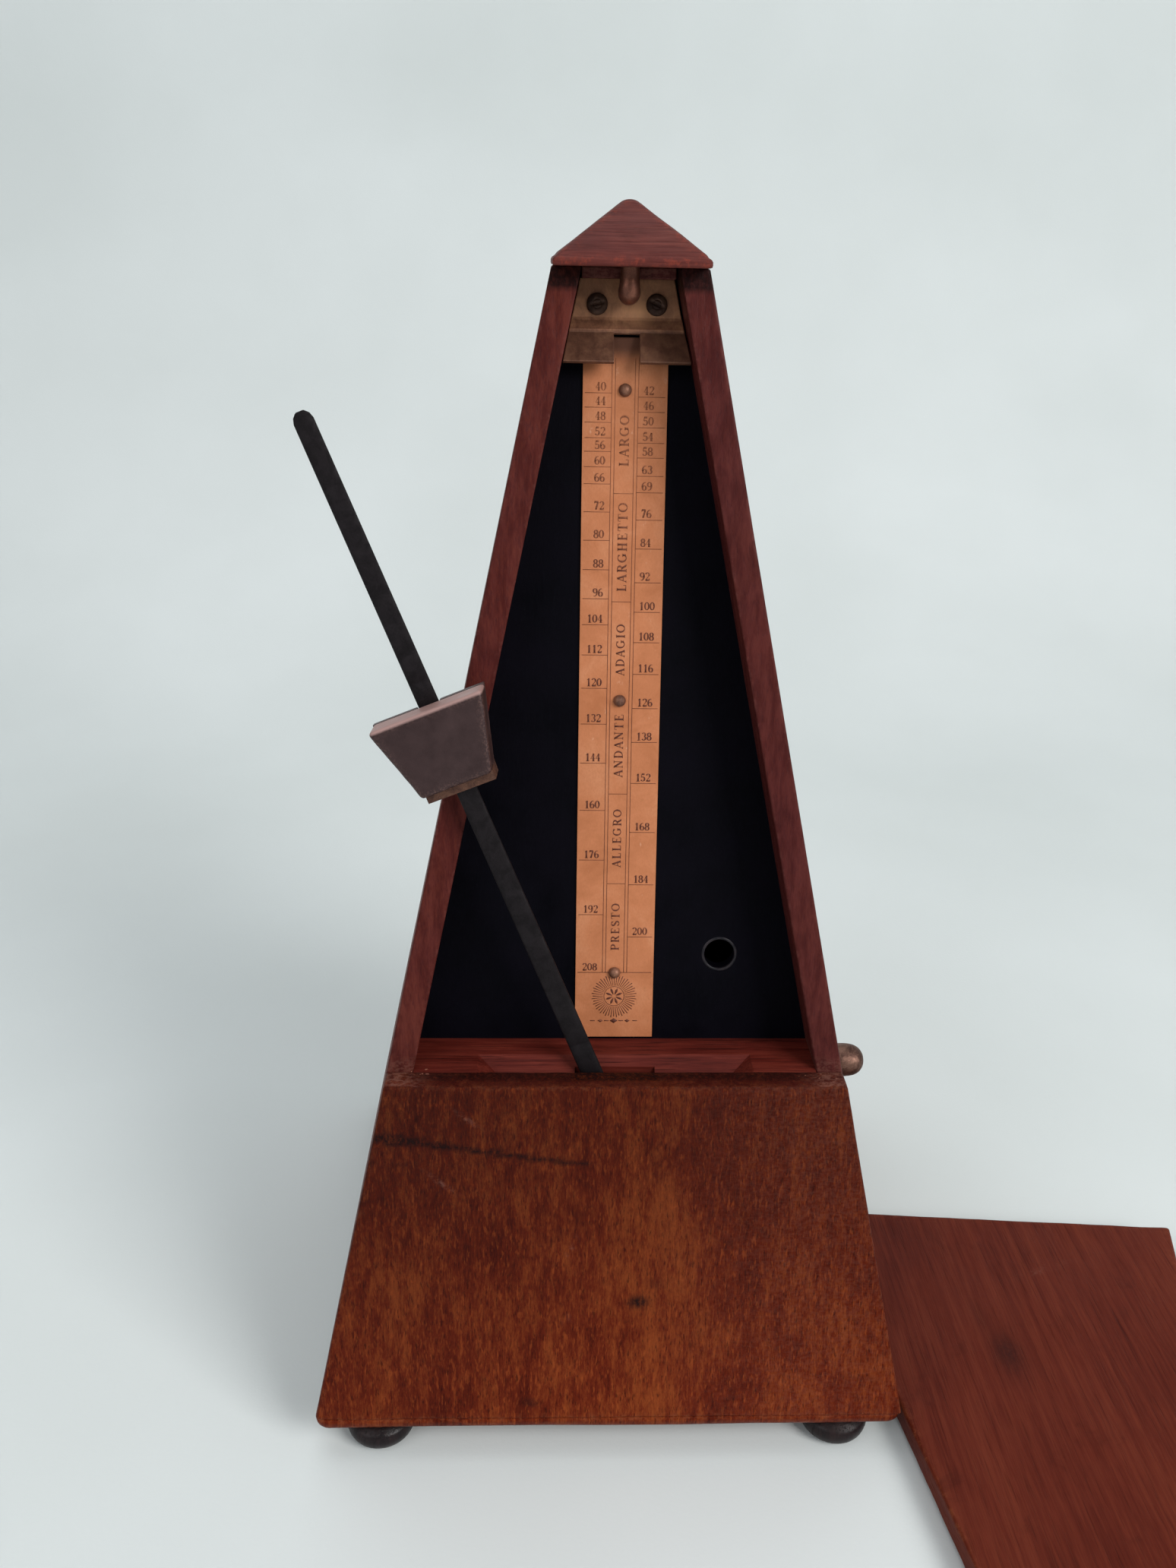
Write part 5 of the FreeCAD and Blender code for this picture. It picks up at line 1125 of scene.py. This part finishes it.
def build_chips():
    """Crumbs of broken varnish and pale wood where the posts meet the ledge."""
    made = Finish("bare_wood_chips")
    shade = made.noise(made.coords(), 1.4, 4, 0.7)
    colour = made.ramp(shade, (0.35, (0.10, 0.022, 0.014)), (0.65, (0.36, 0.13, 0.075)))
    material = made.done(Base_Color=colour, Roughness=made.span(shade, 0.3, 0.7, 0.7, 0.9))
    front = WALL - half(SHELF_TOP)
    points, faces = [], []
    spots = []
    for index in range(6):
        spots.append((-36.4 + 1.7 * math.sin(index * 2.3),
                      front - 0.9 + 0.9 * index * 0.8 * math.cos(index * 1.9) ** 2,
                      SHELF_TOP, 0.10 + 0.14 * abs(math.sin(index * 1.7))))
    for index in range(5):
        spots.append((34.2 + 1.6 * index + 0.6 * math.sin(index * 3.7),
                      front - 1.6 + 0.7 * math.sin(index * 2.7),
                      SHELF_TOP, 0.08 + 0.12 * abs(math.sin(index * 2.9))))
    for x, y, z, size in spots:
        start = len(points)
        for level, grow in ((0.0, 1.0), (0.45, 0.75)):
            for corner in range(6):
                angle = corner * math.pi / 3 + x
                wobble = 1 + 0.35 * math.sin(corner * 2.1 + x * 5)
                points.append(Vector((x + size * grow * wobble * math.cos(angle) * 1.4,
                                      y + size * grow * wobble * math.sin(angle), z - 0.05 + size * level)))
        for corner in range(6):
            after = (corner + 1) % 6
            faces.append([start + corner, start + after, start + 6 + after, start + 6 + corner])
        faces.append([start + corner for corner in range(6)][::-1])
        faces.append([start + 6 + corner for corner in range(6)])
    piece("ledge_chips", points, faces, "shelf_wood", material=material)


def build_hole_rim():
    """A thin painted chamfer round the small hole in the scale board."""
    low = box_mm("scale_board")[0]
    x, z, radius = 20.2, 93.4, 3.0
    up, out = FACE_UP, FACE_OUT
    centre = Vector((x, low.y + (z - low.z) * up.y / up.z, z))
    profile = smooth_profile([(radius + 0.45, -0.02), (radius + 0.30, 0.10), (radius + 0.08, 0.12),
                              (radius - 0.10, 0.0), (radius - 0.12, -0.5)], 3)
    count = 48
    loops = []
    for ring, along in profile + [(radius + 0.2, -0.5)]:
        loops.append([centre + out * along + (Vector((1, 0, 0)) * math.cos(a) + up * math.sin(a)) * ring
                      for a in round_angles(count)])
    points = [point for loop in loops for point in loop]
    faces = []
    for row in range(len(loops)):
        start, after = row * count, (row + 1) % len(loops) * count
        faces += [[start + i, start + (i + 1) % count, after + (i + 1) % count, after + i]
                  for i in range(count)]
    made = Finish("hole_paint", Specular_IOR_Level=0.25)
    tint = made.noise(made.coords(), 0.6, 4, 0.7)
    colour = made.ramp(tint, (0.40, (0.004, 0.004, 0.007)), (0.72, (0.030, 0.022, 0.025)))
    material = made.done(Base_Color=colour, Roughness=made.span(tint, 0.3, 0.7, 0.3, 0.45))
    piece("hole_rim", points, faces, "board_navy", material=material)


# ---------------------------------------------------------------- surroundings

CAMERA_PLACE = (-13.6, -232.8, 217.1)
CAMERA_YAW, CAMERA_PITCH, CAMERA_ROLL = -2.12, -22.86, 1.25
FOCAL_PIXELS, IMAGE_HEIGHT, SENSOR = 1650.0, 2064.0, 36.0


def build_camera():
    data = bpy.data.cameras.new("camera")
    data.sensor_fit = "VERTICAL"
    data.sensor_height = SENSOR
    data.lens = SENSOR * FOCAL_PIXELS / IMAGE_HEIGHT
    data.clip_start = 0.01
    yaw, pitch, roll = [math.radians(a) for a in (CAMERA_YAW, CAMERA_PITCH, CAMERA_ROLL)]
    turn = (Matrix.Rotation(yaw, 4, "Z") @ Matrix.Rotation(math.pi / 2 + pitch, 4, "X")
            @ Matrix.Rotation(roll, 4, "Z"))
    camera = place_in_scene("camera", data)
    camera.matrix_world = Matrix.Translation(Vector(CAMERA_PLACE) * MM) @ turn
    bpy.context.scene.camera = camera


def build_floor():
    made = Finish("pale_cloth", Specular_IOR_Level=0.2)
    cloud = made.noise(made.coords(), 0.006, 3, 0.5)
    weave = made.noise(made.coords((1, 1, 1)), 1.2, 2, 0.5)
    colour = made.ramp(cloud, (0.3, (0.640, 0.680, 0.675)), (0.7, (0.700, 0.740, 0.740)))
    material = made.done(Base_Color=colour, Roughness=made.span(weave, 0.3, 0.7, 0.8, 0.95),
                         Normal=made.bump(weave, 0.03))
    profile = [(-1500, 0), (300, 0)]
    for step in range(1, 13):
        angle = step / 12 * math.pi / 2
        profile.append((300 + 320 * math.sin(angle), 320 - 320 * math.cos(angle)))
    profile.append((620, 1800))
    points = [(x * MM, y * MM, z * MM) for y, z in profile for x in (-2200, 2200)]
    faces = [[2 * i, 2 * i + 1, 2 * i + 3, 2 * i + 2] for i in range(len(profile) - 1)]
    mesh = bpy.data.meshes.new("floor")
    mesh.from_pydata(points, [], faces)
    mesh.polygons.foreach_set("use_smooth", [True] * len(faces))
    mesh.materials.append(material)
    floor = place_in_scene("floor", mesh)


def build_light(name, place, target, size, power, colour):
    data = bpy.data.lights.new(name, "AREA")
    data.shape = "RECTANGLE"
    data.size, data.size_y = size
    data.energy = power
    data.color = colour
    light = place_in_scene(name, data)
    way = Vector(target) - Vector(place)
    turn = way.to_track_quat("-Z", "Y").to_matrix().to_4x4()
    light.matrix_world = Matrix.Translation(Vector(place)) @ turn


def build_world():
    """Soft daylight all round, a little dimmer from the room in front of the metronome."""
    world = bpy.data.worlds.new("world")
    world.use_nodes = True
    nodes, links = world.node_tree.nodes, world.node_tree.links
    place = nodes.new("ShaderNodeTexCoord")
    split = nodes.new("ShaderNodeSeparateXYZ")
    span = nodes.new("ShaderNodeMapRange")
    ramp = nodes.new("ShaderNodeValToRGB")
    links.new(place.outputs["Generated"], split.inputs[0])
    links.new(split.outputs["Y"], span.inputs["Value"])
    span.inputs["From Min"].default_value = -0.9
    span.inputs["From Max"].default_value = 0.5
    links.new(span.outputs["Result"], ramp.inputs["Fac"])
    ramp.color_ramp.elements[0].color = (0.50, 0.54, 0.56, 1)
    ramp.color_ramp.elements[1].color = (0.88, 0.92, 0.94, 1)
    background = nodes["Background"]
    links.new(ramp.outputs["Color"], background.inputs["Color"])
    background.inputs["Strength"].default_value = 0.45
    bpy.context.scene.world = world


def build_lights():
    build_light("window", (0.80, -0.78, 0.78), (0, 0, 0.1), (0.6, 0.6), 13.0, (1.0, 0.985, 0.965))
    build_light("room", (-0.80, -0.80, 0.75), (0, 0, 0.1), (0.9, 0.9), 4.6, (0.97, 0.98, 1.0))
    build_light("ceiling", (-0.2, 0.35, 1.3), (-0.1, 0.3, 0), (1.1, 1.1), 5.0, (0.99, 0.99, 1.0))
    build_world()
    bpy.context.scene.view_settings.view_transform = "Standard"


for build in (build_camera, build_floor, build_lights, build_case, build_cap, build_base_lip,
              build_feet, build_door, build_print, build_bracket, build_bracket_screws, build_latch,
              build_knob, build_rod, build_weight, build_chips, build_hole_rim):
    build()
